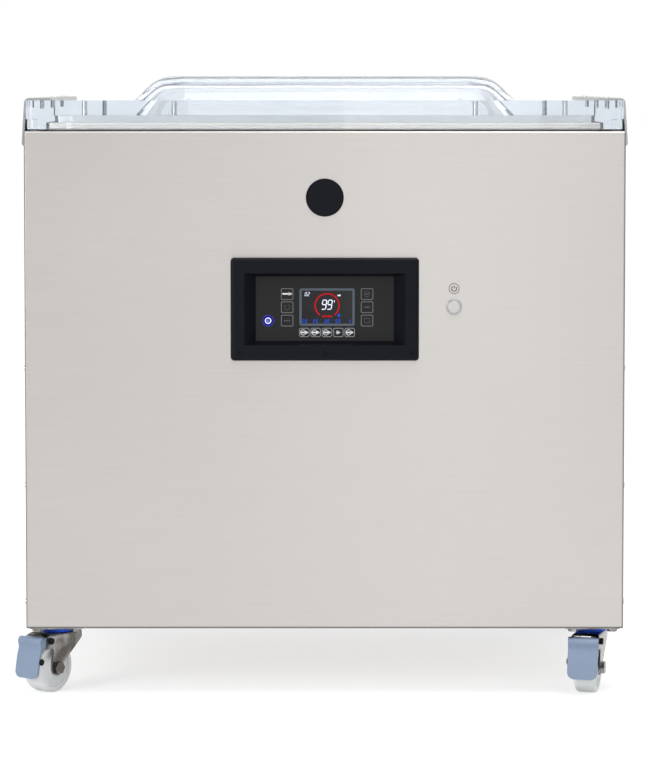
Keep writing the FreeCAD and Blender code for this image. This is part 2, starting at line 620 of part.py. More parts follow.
def cabinet():
    """Base tray, four panels and the screws that hold them."""
    tray = new_body("base_tray")
    pad(tray, "XY", base, base + D.tray_lip, [rect(-inside, inside_front, inside, inside_rear)])
    pocket(tray, "XY", tray_floor, base + D.tray_lip,
           [rect(-inside + D.tray_sheet, inside_front + D.tray_sheet,
                 inside - D.tray_sheet, inside_rear - D.tray_sheet)])
    pocket(tray, "XY", base, tray_floor,
           circles=[(x, y, D.bolt_radius + D.hole_clear) for x, y in bolt_spots])

    panel = new_body("front_panel")
    back = front + D.front_return
    pad(panel, "XZ", front, back, [rect(-half, base, half, top)])
    middle = (base + top) / 2
    fillet(panel, D.panel_bend, [(-half, front, middle), (half, front, middle), (as_size(0), front, top)])
    pocket(panel, "XZ", inside_front, back, [rect(-inside, base, inside, deck)])
    pocket(panel, "XY", deck, top, [rect(-inside, front + D.top_return, inside, back)])
    cut_half = D.opening_width / 2 + D.bezel_wall + D.fit_clear
    cut_high = D.opening_height / 2 + D.bezel_wall + D.fit_clear
    pocket(panel, "XZ", front, inside_front,
           [rect(-cut_half, bezel_z - cut_high, cut_half, bezel_z + cut_high)],
           [(D.switch_x, switch_z, D.switch_barrel + D.hole_clear)]
           + [(x, z, D.bezel_screw_radius + D.hole_clear) for x, z in bezel_screw_spots])
    for sign in (-1, 1):
        pocket(panel, "YZ", sign * inside, sign * half,
               circles=[(screw_y, z, D.screw_radius + D.hole_clear) for z in screw_rows])

    side = new_body("right_side_panel")
    start = front + D.front_return
    pad(side, "XZ", start, rear, [rect(half - D.side_return, base, half, top)])
    fillet(side, D.panel_bend, [(half, as_size(0), top), (half, rear, middle)])
    pocket(side, "XZ", start, inside_rear, [rect(half - D.side_return, base, inside, deck)])
    pocket(side, "XY", deck, top, [rect(half - D.side_return, start, half - D.top_return, rear)])
    tongue_low = base + D.tray_lip + D.fit_clear
    pad(side, "YZ", inside, inside - D.panel_sheet,
        [rect(inside_front + D.tongue_margin, tongue_low, start + D.tongue_overlap, under_deck - D.fit_clear)])
    pocket(side, "YZ", inside - D.panel_sheet, inside,
           circles=[(screw_y, z, D.screw_radius + D.hole_clear) for z in screw_rows])
    pocket(side, "YZ", inside, half, circles=[(shaft_y, shaft_z, D.shaft_radius + D.hole_clear)])
    pocket(side, "XZ", inside_rear, rear,
           circles=[(rear_screw_x, z, D.screw_radius + D.hole_clear) for z in rear_screw_rows])
    mirrored("left_side_panel", side, Vector(1, 0, 0))

    cover = new_body("rear_panel")
    cover_half = half - D.rear_cover_margin
    pad(cover, "XZ", rear, rear + D.panel_sheet,
        [rect(-cover_half, base + D.rear_cover_margin, cover_half, deck - D.rear_cover_margin, D.panel_bend)])
    slots = []
    for column in (-1, 1):
        for row in range(10):
            x = column * D.louvre_spread
            z = base + D.louvre_rise + D.louvre_pitch * row
            slots.append(rect(x - D.louvre_length / 2, z, x + D.louvre_length / 2, z + D.louvre_height))
    pocket(cover, "XZ", rear, rear + D.panel_sheet, slots,
           [(D.gland_x, gland_z, D.gland_radius + D.hole_clear)]
           + [(sx * rear_screw_x, z, D.screw_radius + D.hole_clear) for sx in (-1, 1) for z in rear_screw_rows])

    screws = new_body("panel_screws")
    outside = rear + D.panel_sheet
    for sign in (-1, 1):
        spots = [(screw_y, z) for z in screw_rows]
        pad(screws, "YZ", sign * half, sign * (half + D.screw_rise), circles=[(*s, D.screw_head) for s in spots])
        pad(screws, "YZ", sign * half, sign * (half - D.screw_length),
            circles=[(*s, D.screw_radius) for s in spots])
    spots = [(sx * rear_screw_x, z) for sx in (-1, 1) for z in rear_screw_rows]
    pad(screws, "XZ", outside, outside + D.screw_rise, circles=[(*s, D.screw_head) for s in spots])
    pad(screws, "XZ", outside, outside - D.screw_length, circles=[(*s, D.screw_radius) for s in spots])
    rims = [(sign * (half + D.screw_rise), screw_y, z + D.screw_head) for sign in (-1, 1) for z in screw_rows]
    rims += [(x, outside + D.screw_rise, z + D.screw_head) for x, z in spots]
    fillet(screws, D.screw_rise * 0.75, rims)

    gland = new_body("cable_gland")
    pad(gland, "XZ", outside, outside + D.gland_length * 0.45, [hexagon(D.gland_x, gland_z, D.gland_flange)])
    pad(gland, "XZ", outside + D.gland_length * 0.45, outside + D.gland_length,
        circles=[(D.gland_x, gland_z, D.gland_flange * 0.9)])
    pad(gland, "XZ", outside, outside - D.gland_length, circles=[(D.gland_x, gland_z, D.gland_radius)])
    fillet(gland, D.gland_length * 0.2, [(D.gland_x, outside + D.gland_length, gland_z + D.gland_flange * 0.9)])
    pocket(gland, "XZ", outside - D.gland_length, outside + D.gland_length,
           circles=[(D.gland_x, gland_z, D.gland_bore)])


def chamber():
    """The deck with the deep-drawn vacuum chamber, its suction port and the lift cylinders."""
    tub = new_body("chamber_tub")
    wall = D.chamber_sheet
    eye = D.eye_radius
    back = chamber_rear + wall
    pad(tub, "XY", under_deck, deck, [rect(-inside, inside_front, inside, inside_rear)])
    pad(tub, "XY", under_chamber, under_deck,
        [rect(-chamber_half - wall, chamber_front - wall, chamber_half + wall, chamber_rear + wall,
              D.chamber_corner + wall)])
    pocket(tub, "XY", chamber_floor, deck,
           [rect(-chamber_half, chamber_front, chamber_half, chamber_rear, D.chamber_corner)])
    fillet(tub, D.chamber_floor_round, [(as_size(0), chamber_front, chamber_floor)])
    fillet(tub, D.chamber_floor_round + wall, [(as_size(0), chamber_front - wall, under_chamber)])
    pocket(tub, "XY", under_chamber, chamber_floor, circles=[(port_x, as_size(0), D.port_radius)])
    floor_seat = chamber_floor - D.port_seat
    lift_spots = [(sx * lift_half, y) for y in bar_rows.values() for sx in (-1, 1)]
    pocket(tub, "XY", floor_seat, chamber_floor,
           circles=[(port_x, as_size(0), D.port_cover_radius + D.fit_clear)])
    pocket(tub, "XY", floor_seat, chamber_floor,
           circles=[(*s, D.lift_radius + D.fit_clear) for s in lift_spots])
    for sign in (-1, 1):
        near = sign * (D.lever_x + D.gas_cylinder + D.fit_clear)
        pad(tub, "YZ", near, near + sign * D.bracket_sheet,
            [[(back, gas_foot - eye), (pin_y, gas_foot - eye), (pin_y + eye, gas_foot),
              (pin_y, gas_foot + eye), (back, gas_foot + eye * 2)]])
        pad(tub, "YZ", sign * (D.lever_x - D.eye_width / 2 - D.fit_clear), near,
            circles=[(pin_y, gas_foot, D.lever_pin)])

    cover = new_body("suction_cover")
    high = chamber_floor + D.port_cover_height
    pad(cover, "XY", floor_seat, high, circles=[(port_x, as_size(0), D.port_cover_radius)])
    fillet(cover, D.port_cover_height * 0.4, [(port_x, D.port_cover_radius, high)])
    pocket(cover, "XY", floor_seat, high - D.chamber_sheet,
           circles=[(port_x, as_size(0), D.port_cover_radius - D.chamber_sheet)])
    slots = []
    for row in (-1, 0, 1):
        y = row * D.port_cover_radius * 0.4
        reach = D.port_cover_radius * 0.5
        thin = D.port_cover_radius * 0.08
        slots.append(rect(port_x - reach, y - thin, port_x + reach, y + thin))
    pocket(cover, "XY", high - D.chamber_sheet, high, slots)

    lifts = new_body("lift_cylinders")
    pad(lifts, "XY", floor_seat, lift_top, circles=[(*s, D.lift_radius) for s in lift_spots])
    bore_low = bar_low - D.lift_rod_length - D.fit_clear
    pocket(lifts, "XY", bore_low, lift_top,
           circles=[(*s, D.lift_rod_radius + D.running_clear) for s in lift_spots])


def seal_bars():
    """Two bars that lift on their rods, each with a raised sealing edge along its top."""
    for name, y in bar_rows.items():
        bar = new_body(f"{name}_seal_bar")
        side = D.bar_width / 2
        pad(bar, "XY", bar_low, bar_top, [rect(-bar_half, y - side, bar_half, y + side)])
        pad(bar, "XY", bar_low - D.lift_rod_length, bar_low,
            circles=[(sx * lift_half, y, D.lift_rod_radius) for sx in (-1, 1)])
        fillet(bar, D.bar_width * 0.12,
               [(as_size(0), y - side, bar_top), (as_size(0), y + side, bar_top)])
        pad(bar, "XY", bar_top, bar_top + D.tape_height,
            [rect(-bar_half, y - D.tape_width / 2, bar_half, y + D.tape_width / 2)])


def lid():
    """Clear lid with a raised dome, its gasket and the counter bars under it."""
    shell = new_body("lid_shell")
    step = lid_low + D.lid_step_height
    pad(shell, "XY", step, lid_high, [rect(-lid_half, lid_front, lid_half, lid_rear, D.lid_corner)])
    pad(shell, "XY", lid_low, step,
        [rect(-lid_half + D.lid_step, lid_front + D.lid_step, lid_half - D.lid_step, lid_rear - D.lid_step,
              D.lid_corner)])
    dome_x = D.dome_width / 2
    dome_y = D.dome_length / 2
    dome_top = lid_high + D.dome_height
    pad(shell, "XY", lid_high, dome_top,
        [rect(-dome_x, lid_middle - dome_y, dome_x, lid_middle + dome_y, D.dome_corner)], taper=D.dome_slope)
    run = turned("tan", D.dome_slope)
    fillet(shell, D.dome_round, [(as_size(0), lid_middle - dome_y + D.dome_height * run, dome_top)])
    pocket(shell, "XY", lid_low, lid_ceiling,
           [rect(-chamber_half, chamber_front, chamber_half, chamber_rear, D.chamber_corner)])
    grow = D.lid_web * run - D.lid_wall / turned("cos", D.dome_slope)
    pocket(shell, "XY", lid_ceiling, dome_top - D.lid_wall,
           [rect(-dome_x - grow, lid_middle - dome_y - grow, dome_x + grow, lid_middle + dome_y + grow,
                 D.dome_corner + grow)], taper=D.dome_slope)
    inner = dome_top - D.lid_wall
    rise = inner - lid_ceiling
    fillet(shell, D.dome_round - D.lid_wall,
           [(as_size(0), lid_middle - dome_y - grow + rise * run, inner)])
    near = D.gasket_offset
    far = D.gasket_offset + D.gasket_width
    pocket(shell, "XY", lid_low, lid_low + D.gasket_groove,
           [rect(-chamber_half - m, chamber_front - m, chamber_half + m, chamber_rear + m, D.chamber_corner + m)
            for m in (near, far)])
    screw_spots = [(sx * x, y) for x in (D.counter_screw_inner, D.counter_screw_outer)
                   for sx in (-1, 1) for y in bar_rows.values()]
    pocket(shell, "XY", lid_ceiling, lid_high,
           circles=[(*s, D.counter_screw_radius + D.hole_clear) for s in screw_spots])
    arm_spots = [(sx * arm_screw_x, y) for sx in (-1, 1) for y in arm_screw_rows]
    pocket(shell, "XY", lid_high, lid_high - D.arm_screw_grip,
           circles=[(*s, D.arm_screw_radius + D.hole_clear) for s in arm_spots])

    gasket = new_body("lid_gasket")
    play = D.hole_clear
    pad(gasket, "XY", deck + D.fit_clear, lid_low + D.gasket_groove,
        [rect(-chamber_half - m, chamber_front - m, chamber_half + m, chamber_rear + m, D.chamber_corner + m)
         for m in (near + play, far - play)])

    counters = new_body("counter_bars")
    side = D.counter_width / 2
    low = lid_ceiling - D.counter_height
    strip = D.silicone_width / 2
    rows = bar_rows.values()
    pad(counters, "XY", low, lid_ceiling, [rect(-counter_half, y - side, counter_half, y + side) for y in rows])
    pocket(counters, "XY", low, low + D.silicone_seat,
           [rect(-counter_half, y - strip, counter_half, y + strip) for y in rows])
    pocket(counters, "XY", lid_ceiling - D.counter_screw_grip, lid_ceiling,
           circles=[(*s, D.counter_screw_radius + D.hole_clear) for s in screw_spots])
    strips = new_body("counter_silicones")
    strip = D.silicone_width / 2 - D.hole_clear
    pad(strips, "XY", silicone_low, silicone_low + D.silicone_height,
        [rect(-counter_half, y - strip, counter_half, y + strip) for y in bar_rows.values()])

    screws = new_body("counter_bar_screws")
    high = lid_high - D.counter_screw_sink
    pad(screws, "XY", lid_ceiling - D.counter_screw_grip, high,
        circles=[(*s, D.counter_screw_radius) for s in screw_spots])
    pocket(screws, "XY", high - D.counter_screw_radius, high,
           [hexagon(*s, D.counter_screw_radius * 0.6) for s in screw_spots])


def hinge():
    """Bent arms beside the lid, the shaft they turn with, and its bearings, levers and caps."""
    arm = new_body("right_hinge_arm")
    t = D.arm_sheet
    lip_in = half + D.arm_lip_gap
    lean = D.arm_splay / (lid_high - arm_low)
    pad(arm, "XZ", arm_front, arm_rear,
        [[(arm_flange_in, lid_high), (arm_top_x, lid_high), (arm_low_x - lean * t, arm_low + t),
          (lip_in, arm_low + t), (lip_in, arm_low), (arm_low_x + t, arm_low),
          (arm_top_x + t, arm_flange_top), (arm_flange_in, arm_flange_top)]])
    fillet(arm, D.arm_bend, [(arm_top_x + t, as_size(0), arm_flange_top)])
    fillet(arm, D.arm_lip_bend, [(arm_low_x + t, as_size(0), arm_low)])
    fillet(arm, D.arm_bend - t, [(arm_top_x, as_size(0), lid_high)])
    fillet(arm, D.arm_lip_bend - t, [(arm_low_x, as_size(0), arm_low + t)])
    outer = arm_low_x + t
    pocket(arm, "YZ", arm_flange_in, outer,
           [[(lid_rear, arm_flange_top), (arm_rear, shaft_z + D.arm_ear), (arm_rear, arm_flange_top)]])
    pad(arm, "YZ", arm_low_x, outer, circles=[(shaft_y, shaft_z, D.arm_ear)])
    pocket(arm, "YZ", arm_flange_in, outer, circles=[(shaft_y, shaft_z, D.shaft_radius + D.running_clear)])
    pocket(arm, "XY", lid_high, arm_flange_top,
           circles=[(arm_screw_x, y, D.arm_screw_radius + D.hole_clear) for y in arm_screw_rows])
    mirrored("left_hinge_arm", arm, Vector(1, 0, 0))

    screws = new_body("arm_screws")
    spots = [(sx * arm_screw_x, y) for sx in (-1, 1) for y in arm_screw_rows]
    pad(screws, "XY", arm_flange_top, arm_flange_top + D.arm_screw_rise,
        circles=[(*s, D.arm_screw_head) for s in spots])
    pad(screws, "XY", lid_high - D.arm_screw_grip, arm_flange_top,
        circles=[(*s, D.arm_screw_radius) for s in spots])
    fillet(screws, D.arm_screw_rise * 0.7,
           [(x, y + D.arm_screw_head, arm_flange_top + D.arm_screw_rise) for x, y in spots])

    shaft = new_body("hinge_shaft")
    pad(shaft, "YZ", -outer, outer, circles=[(shaft_y, shaft_z, D.shaft_radius)])
    caps = new_body("shaft_caps")
    for sign in (-1, 1):
        pad(caps, "YZ", sign * outer, sign * (outer + D.shaft_cap_height),
            circles=[(shaft_y, shaft_z, D.shaft_cap)])
    fillet(caps, D.shaft_cap_height * 0.5,
           [(sign * (outer + D.shaft_cap_height), shaft_y, shaft_z + D.shaft_cap) for sign in (-1, 1)])

    blocks = new_body("hinge_bearings")
    wide = D.shaft_radius + D.bearing_wall
    for sign in (-1, 1):
        pad(blocks, "YZ", sign * inside, sign * (inside - D.bearing_width),
            [rect(shaft_y - wide, shaft_z - wide, shaft_y + wide, under_deck)])
        pocket(blocks, "YZ", sign * inside, sign * (inside - D.bearing_width),
               circles=[(shaft_y, shaft_z, D.shaft_radius + D.running_clear)])

    levers = new_body("shaft_levers")
    along = (turned("cos", lever_lean), turned("sin", lever_lean))
    wide = D.lever_end
    web = [(shaft_y - along[1] * wide, shaft_z + along[0] * wide),
           (pin_y - along[1] * wide, pin_z + along[0] * wide),
           (pin_y + along[1] * wide, pin_z - along[0] * wide),
           (shaft_y + along[1] * wide, shaft_z - along[0] * wide)]
    for sign in (-1, 1):
        near = sign * (D.lever_x + D.eye_width / 2 + D.fit_clear)
        far = near + sign * D.lever_sheet
        pad(levers, "YZ", near, far, circles=[(shaft_y, shaft_z, D.lever_hub)])
        pad(levers, "YZ", near, far, [web])
        pad(levers, "YZ", near, far, circles=[(pin_y, pin_z, D.lever_end)])
        pad(levers, "YZ", sign * (D.lever_x - D.eye_width / 2 - D.fit_clear), near,
            circles=[(pin_y, pin_z, D.lever_pin)])
        pocket(levers, "YZ", near, far, circles=[(shaft_y, shaft_z, D.shaft_radius + D.running_clear)])

    for name, sign in (("left", -1), ("right", 1)):
        x = sign * D.lever_x
        rod = new_body(f"{name}_gas_rod")
        eye = D.eye_width / 2
        pad(rod, "YZ", x - eye, x + eye, circles=[(pin_y, pin_z, D.eye_radius)])
        pad(rod, "XY", gas_high - D.gas_rod_engage, pin_z - D.eye_radius * 0.8, circles=[(x, pin_y, D.gas_rod)])
        pocket(rod, "YZ", x - eye, x + eye, circles=[(pin_y, pin_z, D.lever_pin + D.eye_play)])

    cylinders = new_body("gas_cylinders")
    spots = [(sx * D.lever_x, pin_y) for sx in (-1, 1)]
    pad(cylinders, "XY", gas_low, gas_high, circles=[(*s, D.gas_cylinder) for s in spots])
    for sign in (-1, 1):
        x = sign * D.lever_x
        pad(cylinders, "YZ", x - D.eye_width / 2, x + D.eye_width / 2, circles=[(pin_y, gas_foot, D.eye_radius)])
        pocket(cylinders, "YZ", x - D.eye_width / 2, x + D.eye_width / 2,
               circles=[(pin_y, gas_foot, D.lever_pin + D.running_clear)])
    pocket(cylinders, "XY", gas_high - D.gas_rod_engage - D.gas_rod_show, gas_high,
           circles=[(*s, D.gas_rod + D.running_clear) for s in spots])


def controls():
    """Recessed control panel with its foil, display and board, the badge and the power button."""
    bezel = new_body("control_bezel")
    wide = D.bezel_width / 2
    high = D.bezel_height / 2
    open_x = D.opening_width / 2
    open_z = D.opening_height / 2
    pad(bezel, "XZ", bezel_front, front, [rect(-wide, bezel_z - high, wide, bezel_z + high)])
    fillet(bezel, D.bezel_round,
           [(-wide, bezel_front, bezel_z), (wide, bezel_front, bezel_z),
            (as_size(0), bezel_front, bezel_z - high), (as_size(0), bezel_front, bezel_z + high),
            (-wide, front - D.bezel_proud / 2, bezel_z - high), (wide, front - D.bezel_proud / 2, bezel_z - high),
            (-wide, front - D.bezel_proud / 2, bezel_z + high), (wide, front - D.bezel_proud / 2, bezel_z + high)])
    wall = D.bezel_wall
    pad(bezel, "XZ", front, bezel_back,
        [rect(-open_x - wall, bezel_z - open_z - wall, open_x + wall, bezel_z + open_z + wall)])
    foil_x = D.keypad_width / 2
    foil_z = D.keypad_height / 2
    bezel_funnel = bezel.newObject("PartDesign::SubtractiveLoft", "bezel_funnel")
    bezel_funnel.Profile = draw(bezel, "XZ", bezel_front,
                                [rect(-open_x, bezel_z - open_z, open_x, bezel_z + open_z)])
    bezel_funnel.Sections = [draw(bezel, "XZ", recess_floor,
                                  [rect(-foil_x, bezel_z - foil_z, foil_x, bezel_z + foil_z)])]
    bezel_funnel.Ruled = True
    show_x = D.display_width / 2
    show_z = D.display_height / 2
    pocket(bezel, "XZ", recess_floor, bezel_back,
           [rect(D.display_shift - show_x, window_z - show_z, D.display_shift + show_x, window_z + show_z)])
    post_x = D.board_width / 2 - D.post_radius * 2
    post_z = D.board_height / 2 - D.post_radius * 2
    posts = [(sx * post_x, bezel_z + sz * post_z, D.post_radius) for sx in (-1, 1) for sz in (-1, 1)]
    pad(bezel, "XZ", bezel_back, bezel_back + D.post_length, circles=posts)
    pocket(bezel, "XZ", bezel_front, front,
           circles=[(x, z, D.bezel_screw_radius + D.hole_clear) for x, z in bezel_screw_spots])

    foil = new_body("keypad_foil")
    face = recess_floor - D.keypad_sheet
    pad(foil, "XZ", face, recess_floor,
        [rect(-foil_x, bezel_z - foil_z, foil_x, bezel_z + foil_z),
         rect(D.display_shift - show_x, window_z - show_z, D.display_shift + show_x, window_z + show_z)])

    window = new_body("display_window")
    fit = D.hole_clear
    pad(window, "XZ", face, face + D.display_sheet,
        [rect(D.display_shift - show_x + fit, window_z - show_z + fit,
              D.display_shift + show_x - fit, window_z + show_z - fit)])

    board = new_body("control_board")
    start = bezel_back + D.post_length
    pad(board, "XZ", start, start + D.board_sheet,
        [rect(-D.board_width / 2, bezel_z - D.board_height / 2, D.board_width / 2, bezel_z + D.board_height / 2)])
    pad(board, "XZ", face + D.display_sheet, start,
        [rect(D.display_shift - show_x + D.post_radius, window_z - show_z + D.post_radius,
              D.display_shift + show_x - D.post_radius, window_z + show_z - D.post_radius)])

    screws = new_body("bezel_screws")
    pad(screws, "XZ", bezel_front - D.bezel_screw_rise, bezel_front,
        circles=[(x, z, D.bezel_screw_head) for x, z in bezel_screw_spots])
    pad(screws, "XZ", bezel_front, bezel_front + D.bezel_screw_length,
        circles=[(x, z, D.bezel_screw_radius) for x, z in bezel_screw_spots])
    fillet(screws, D.bezel_screw_rise * 0.6,
           [(x, bezel_front - D.bezel_screw_rise, z + D.bezel_screw_head) for x, z in bezel_screw_spots])

    badge = new_body("badge_disc")
    pad(badge, "XZ", front - D.badge_sheet, front, circles=[(as_size(0), badge_z, D.badge_radius)])
    fillet(badge, D.badge_sheet * 0.4, [(as_size(0), front - D.badge_sheet, badge_z + D.badge_radius)])

    collar = new_body("switch_collar")
    collar_front = front - D.switch_collar_height
    barrel_end = inside_front + D.switch_barrel_length
    pad(collar, "XZ", collar_front, front, circles=[(D.switch_x, switch_z, D.switch_collar)])
    pad(collar, "XZ", front, barrel_end, circles=[(D.switch_x, switch_z, D.switch_barrel)])
    fillet(collar, D.switch_collar_height * 0.5, [(D.switch_x, collar_front, switch_z + D.switch_collar)])
    stem_end = collar_front - D.switch_proud + D.switch_stem
    pocket(collar, "XZ", collar_front, stem_end + D.switch_travel + D.fit_clear,
           circles=[(D.switch_x, switch_z, D.switch_cap + D.running_clear)])

    button = new_body("power_button")
    button_front = collar_front - D.switch_proud
    pad(button, "XZ", button_front, stem_end, circles=[(D.switch_x, switch_z, D.switch_cap)])
    fillet(button, D.switch_proud * 0.5, [(D.switch_x, button_front, switch_z + D.switch_cap)])


def castor_fittings():
    """Plates with their rivets, dust seals and bolts, four of each."""
    plates = new_body("castor_plates")
    pad(plates, "XY", plate_low, base,
        [rect(x - D.plate_width / 2, y - D.plate_length / 2, x + D.plate_width / 2, y + D.plate_length / 2,
              D.plate_corner) for x, y in castor_spots])
    pocket(plates, "XY", plate_low, base,
           circles=[(x, y, D.bolt_radius + D.hole_clear) for x, y in bolt_spots])
    rivet_top = crown_low - D.fit_clear
    pad(plates, "XY", rivet_top, plate_low, circles=[(x, y, D.kingpin_radius) for x, y in castor_spots])
    pad(plates, "XY", rivet_top - D.kingpin_head_height, rivet_top,
        circles=[(x, y, D.kingpin_head) for x, y in castor_spots])

    seals = new_body("castor_dust_seals")
    pad(seals, "XY", seal_low, plate_low,
        circles=[(x, y, r) for x, y in castor_spots for r in (D.seal_radius, D.seal_radius - D.seal_wall)])

    bolts = new_body("castor_bolts")
    head_low = plate_low - D.bolt_head_height
    pad(bolts, "XY", head_low, plate_low, [hexagon(x, y, D.bolt_head) for x, y in bolt_spots])
    pad(bolts, "XY", plate_low, tray_floor, circles=[(x, y, D.bolt_radius) for x, y in bolt_spots])
    pad(bolts, "XY", tray_floor, tray_floor + D.bolt_head_height,
        [hexagon(x, y, D.bolt_head) for x, y in bolt_spots])


def place_castor(body, spot, angle, turn):
    """Put a piece that was drawn round its swivel axis on its castor."""
    body.Placement = Placement(Vector(0, 0, 0), Rotation(Vector(0, 0, turn), angle.value))
    bind(body, "Placement.Base.x", spot[0])
    bind(body, "Placement.Base.y", spot[1])
    bind(body, "Placement.Rotation.Angle", angle)


def castor(name, spot, angle, turn, brake):
    """Fork, wheel, axle and brake pedal, drawn with the wheel trailing towards -Y."""
    axle_y = -D.trail
    axle_z = D.wheel_radius
    fork = new_body(f"{name}_fork")
    boss = D.fork_boss
    lobe_low = axle_z + D.pedal_pivot_rise - D.pedal_lug * 2
    pad(fork, "YZ", -fork_outside, fork_outside,
        [[(D.fork_back, crown_top), (D.fork_back, crown_top - D.fork_boss),
          (D.fork_back * 0.4, (crown_top + axle_z) / 2), (axle_y + boss, axle_z + boss / 2),
          (axle_y + boss, axle_z - boss), (axle_y - boss, axle_z - boss), (axle_y - boss, axle_z + boss),
          (axle_y - boss * 0.6, lobe_low), (-D.fork_lobe, lobe_low), (-D.fork_lobe, crown_low - D.fork_sheet),
          (-D.fork_lobe + boss, crown_top)]])
    low = axle_z - boss
    fillet(fork, boss * 0.96, [(as_size(0), axle_y + boss, low), (as_size(0), axle_y - boss, low)])
    fillet(fork, boss * 0.4,
           [(as_size(0), D.fork_back, crown_top - D.fork_boss),
            (as_size(0), D.fork_back * 0.4, (crown_top + axle_z) / 2),
            (as_size(0), axle_y + boss, axle_z + boss / 2), (as_size(0), axle_y - boss * 0.6, lobe_low),
            (as_size(0), -D.fork_lobe, lobe_low), (as_size(0), -D.fork_lobe, crown_low - D.fork_sheet)])
    pocket(fork, "XZ", -D.fork_lobe - boss, D.fork_back + boss,
           [rect(-fork_inside, as_size(0), fork_inside, crown_low)])
    fillet(fork, D.fork_bend, [(-fork_outside, as_size(0), crown_top), (fork_outside, as_size(0), crown_top)])
    pad(fork, "XY", crown_top, plate_low - D.fit_clear, circles=[(as_size(0), as_size(0), D.boss_radius)])
    pocket(fork, "XY", crown_low, plate_low - D.fit_clear,
           circles=[(as_size(0), as_size(0), D.kingpin_radius + D.running_clear)])
    pocket(fork, "YZ", -fork_outside, fork_outside, circles=[(axle_y, axle_z, D.axle_radius + D.running_clear)])

    wheel = new_body(f"{name}_wheel")
    side = D.wheel_width / 2
    hub = fork_inside - D.hub_gap
    web = side - D.wheel_dish
    rim = D.wheel_radius - D.wheel_dish * 1.6
    bore = D.axle_radius + D.running_clear
    tread = D.wheel_round
    revolve(wheel, "XZ", axle_y,
            [(-hub, bore), (hub, bore), (hub, D.hub_radius), (web, D.hub_radius + D.wheel_dish), (web, rim),
             (side, rim), (side, D.wheel_radius, tread), (-side, D.wheel_radius, tread), (-side, rim),
             (-web, rim), (-web, D.hub_radius + D.wheel_dish), (-hub, D.hub_radius)],
            "H_Axis", (as_size(0), axle_z))

    axle = new_body(f"{name}_axle")
    end = fork_outside + D.axle_head_height
    pad(axle, "YZ", -fork_outside, fork_outside, circles=[(axle_y, axle_z, D.axle_radius)])
    pad(axle, "YZ", fork_outside, end, [hexagon(axle_y, axle_z, D.axle_head)])
    pad(axle, "YZ", -end, -fork_outside, [hexagon(axle_y, axle_z, D.axle_head)])
    pieces = [fork, wheel, axle]

    if brake:
        pivot_y = -D.pedal_pivot_reach
        pivot_z = axle_z + D.pedal_pivot_rise
        pocket(fork, "YZ", -fork_outside, fork_outside,
               circles=[(pivot_y, pivot_z, D.pedal_pin + D.running_clear)])
        pedal = new_body(f"{name}_brake_pedal")
        wide = D.pedal_width / 2
        lug = fork_inside - D.wheel_gap
        tip = -D.pedal_reach
        thick = D.pedal_sheet
        shelf = -D.fork_lobe - D.fork_sheet
        high = crown_low
        ridge = tip + D.pedal_sheet * 2
        pad(pedal, "YZ", -wide, wide,
            [[(shelf, high - thick * 0.6), (shelf - thick, high), (ridge + thick * 0.4, high - thick * 0.5),
              (ridge - thick * 0.3, high - thick * 2), (tip, D.pedal_tip_rise + thick * 0.5),
              (tip + thick * 0.5, D.pedal_tip_rise), (tip + thick, D.pedal_tip_rise + thick * 0.4),
              (ridge + thick, high - thick * 3), (shelf, high - thick * 2.6)]])
        fillet(pedal, thick * 0.6,
               [(as_size(0), ridge + thick * 0.4, high - thick * 0.5), (as_size(0), shelf - thick, high),
                (as_size(0), ridge - thick * 0.3, high - thick * 2)])
        pad(pedal, "YZ", -lug, lug, circles=[(pivot_y, pivot_z, D.pedal_lug)])
        pad(pedal, "YZ", -lug, lug,
            [rect(shelf - thick * 0.5, pivot_z - D.pedal_lug * 0.7, pivot_y, pivot_z + D.pedal_lug * 0.7)])
        pad(pedal, "YZ", -fork_outside, fork_outside, circles=[(pivot_y, pivot_z, D.pedal_pin)])
        pieces.append(pedal)
    for piece in pieces:
        place_castor(piece, spot, angle, turn)


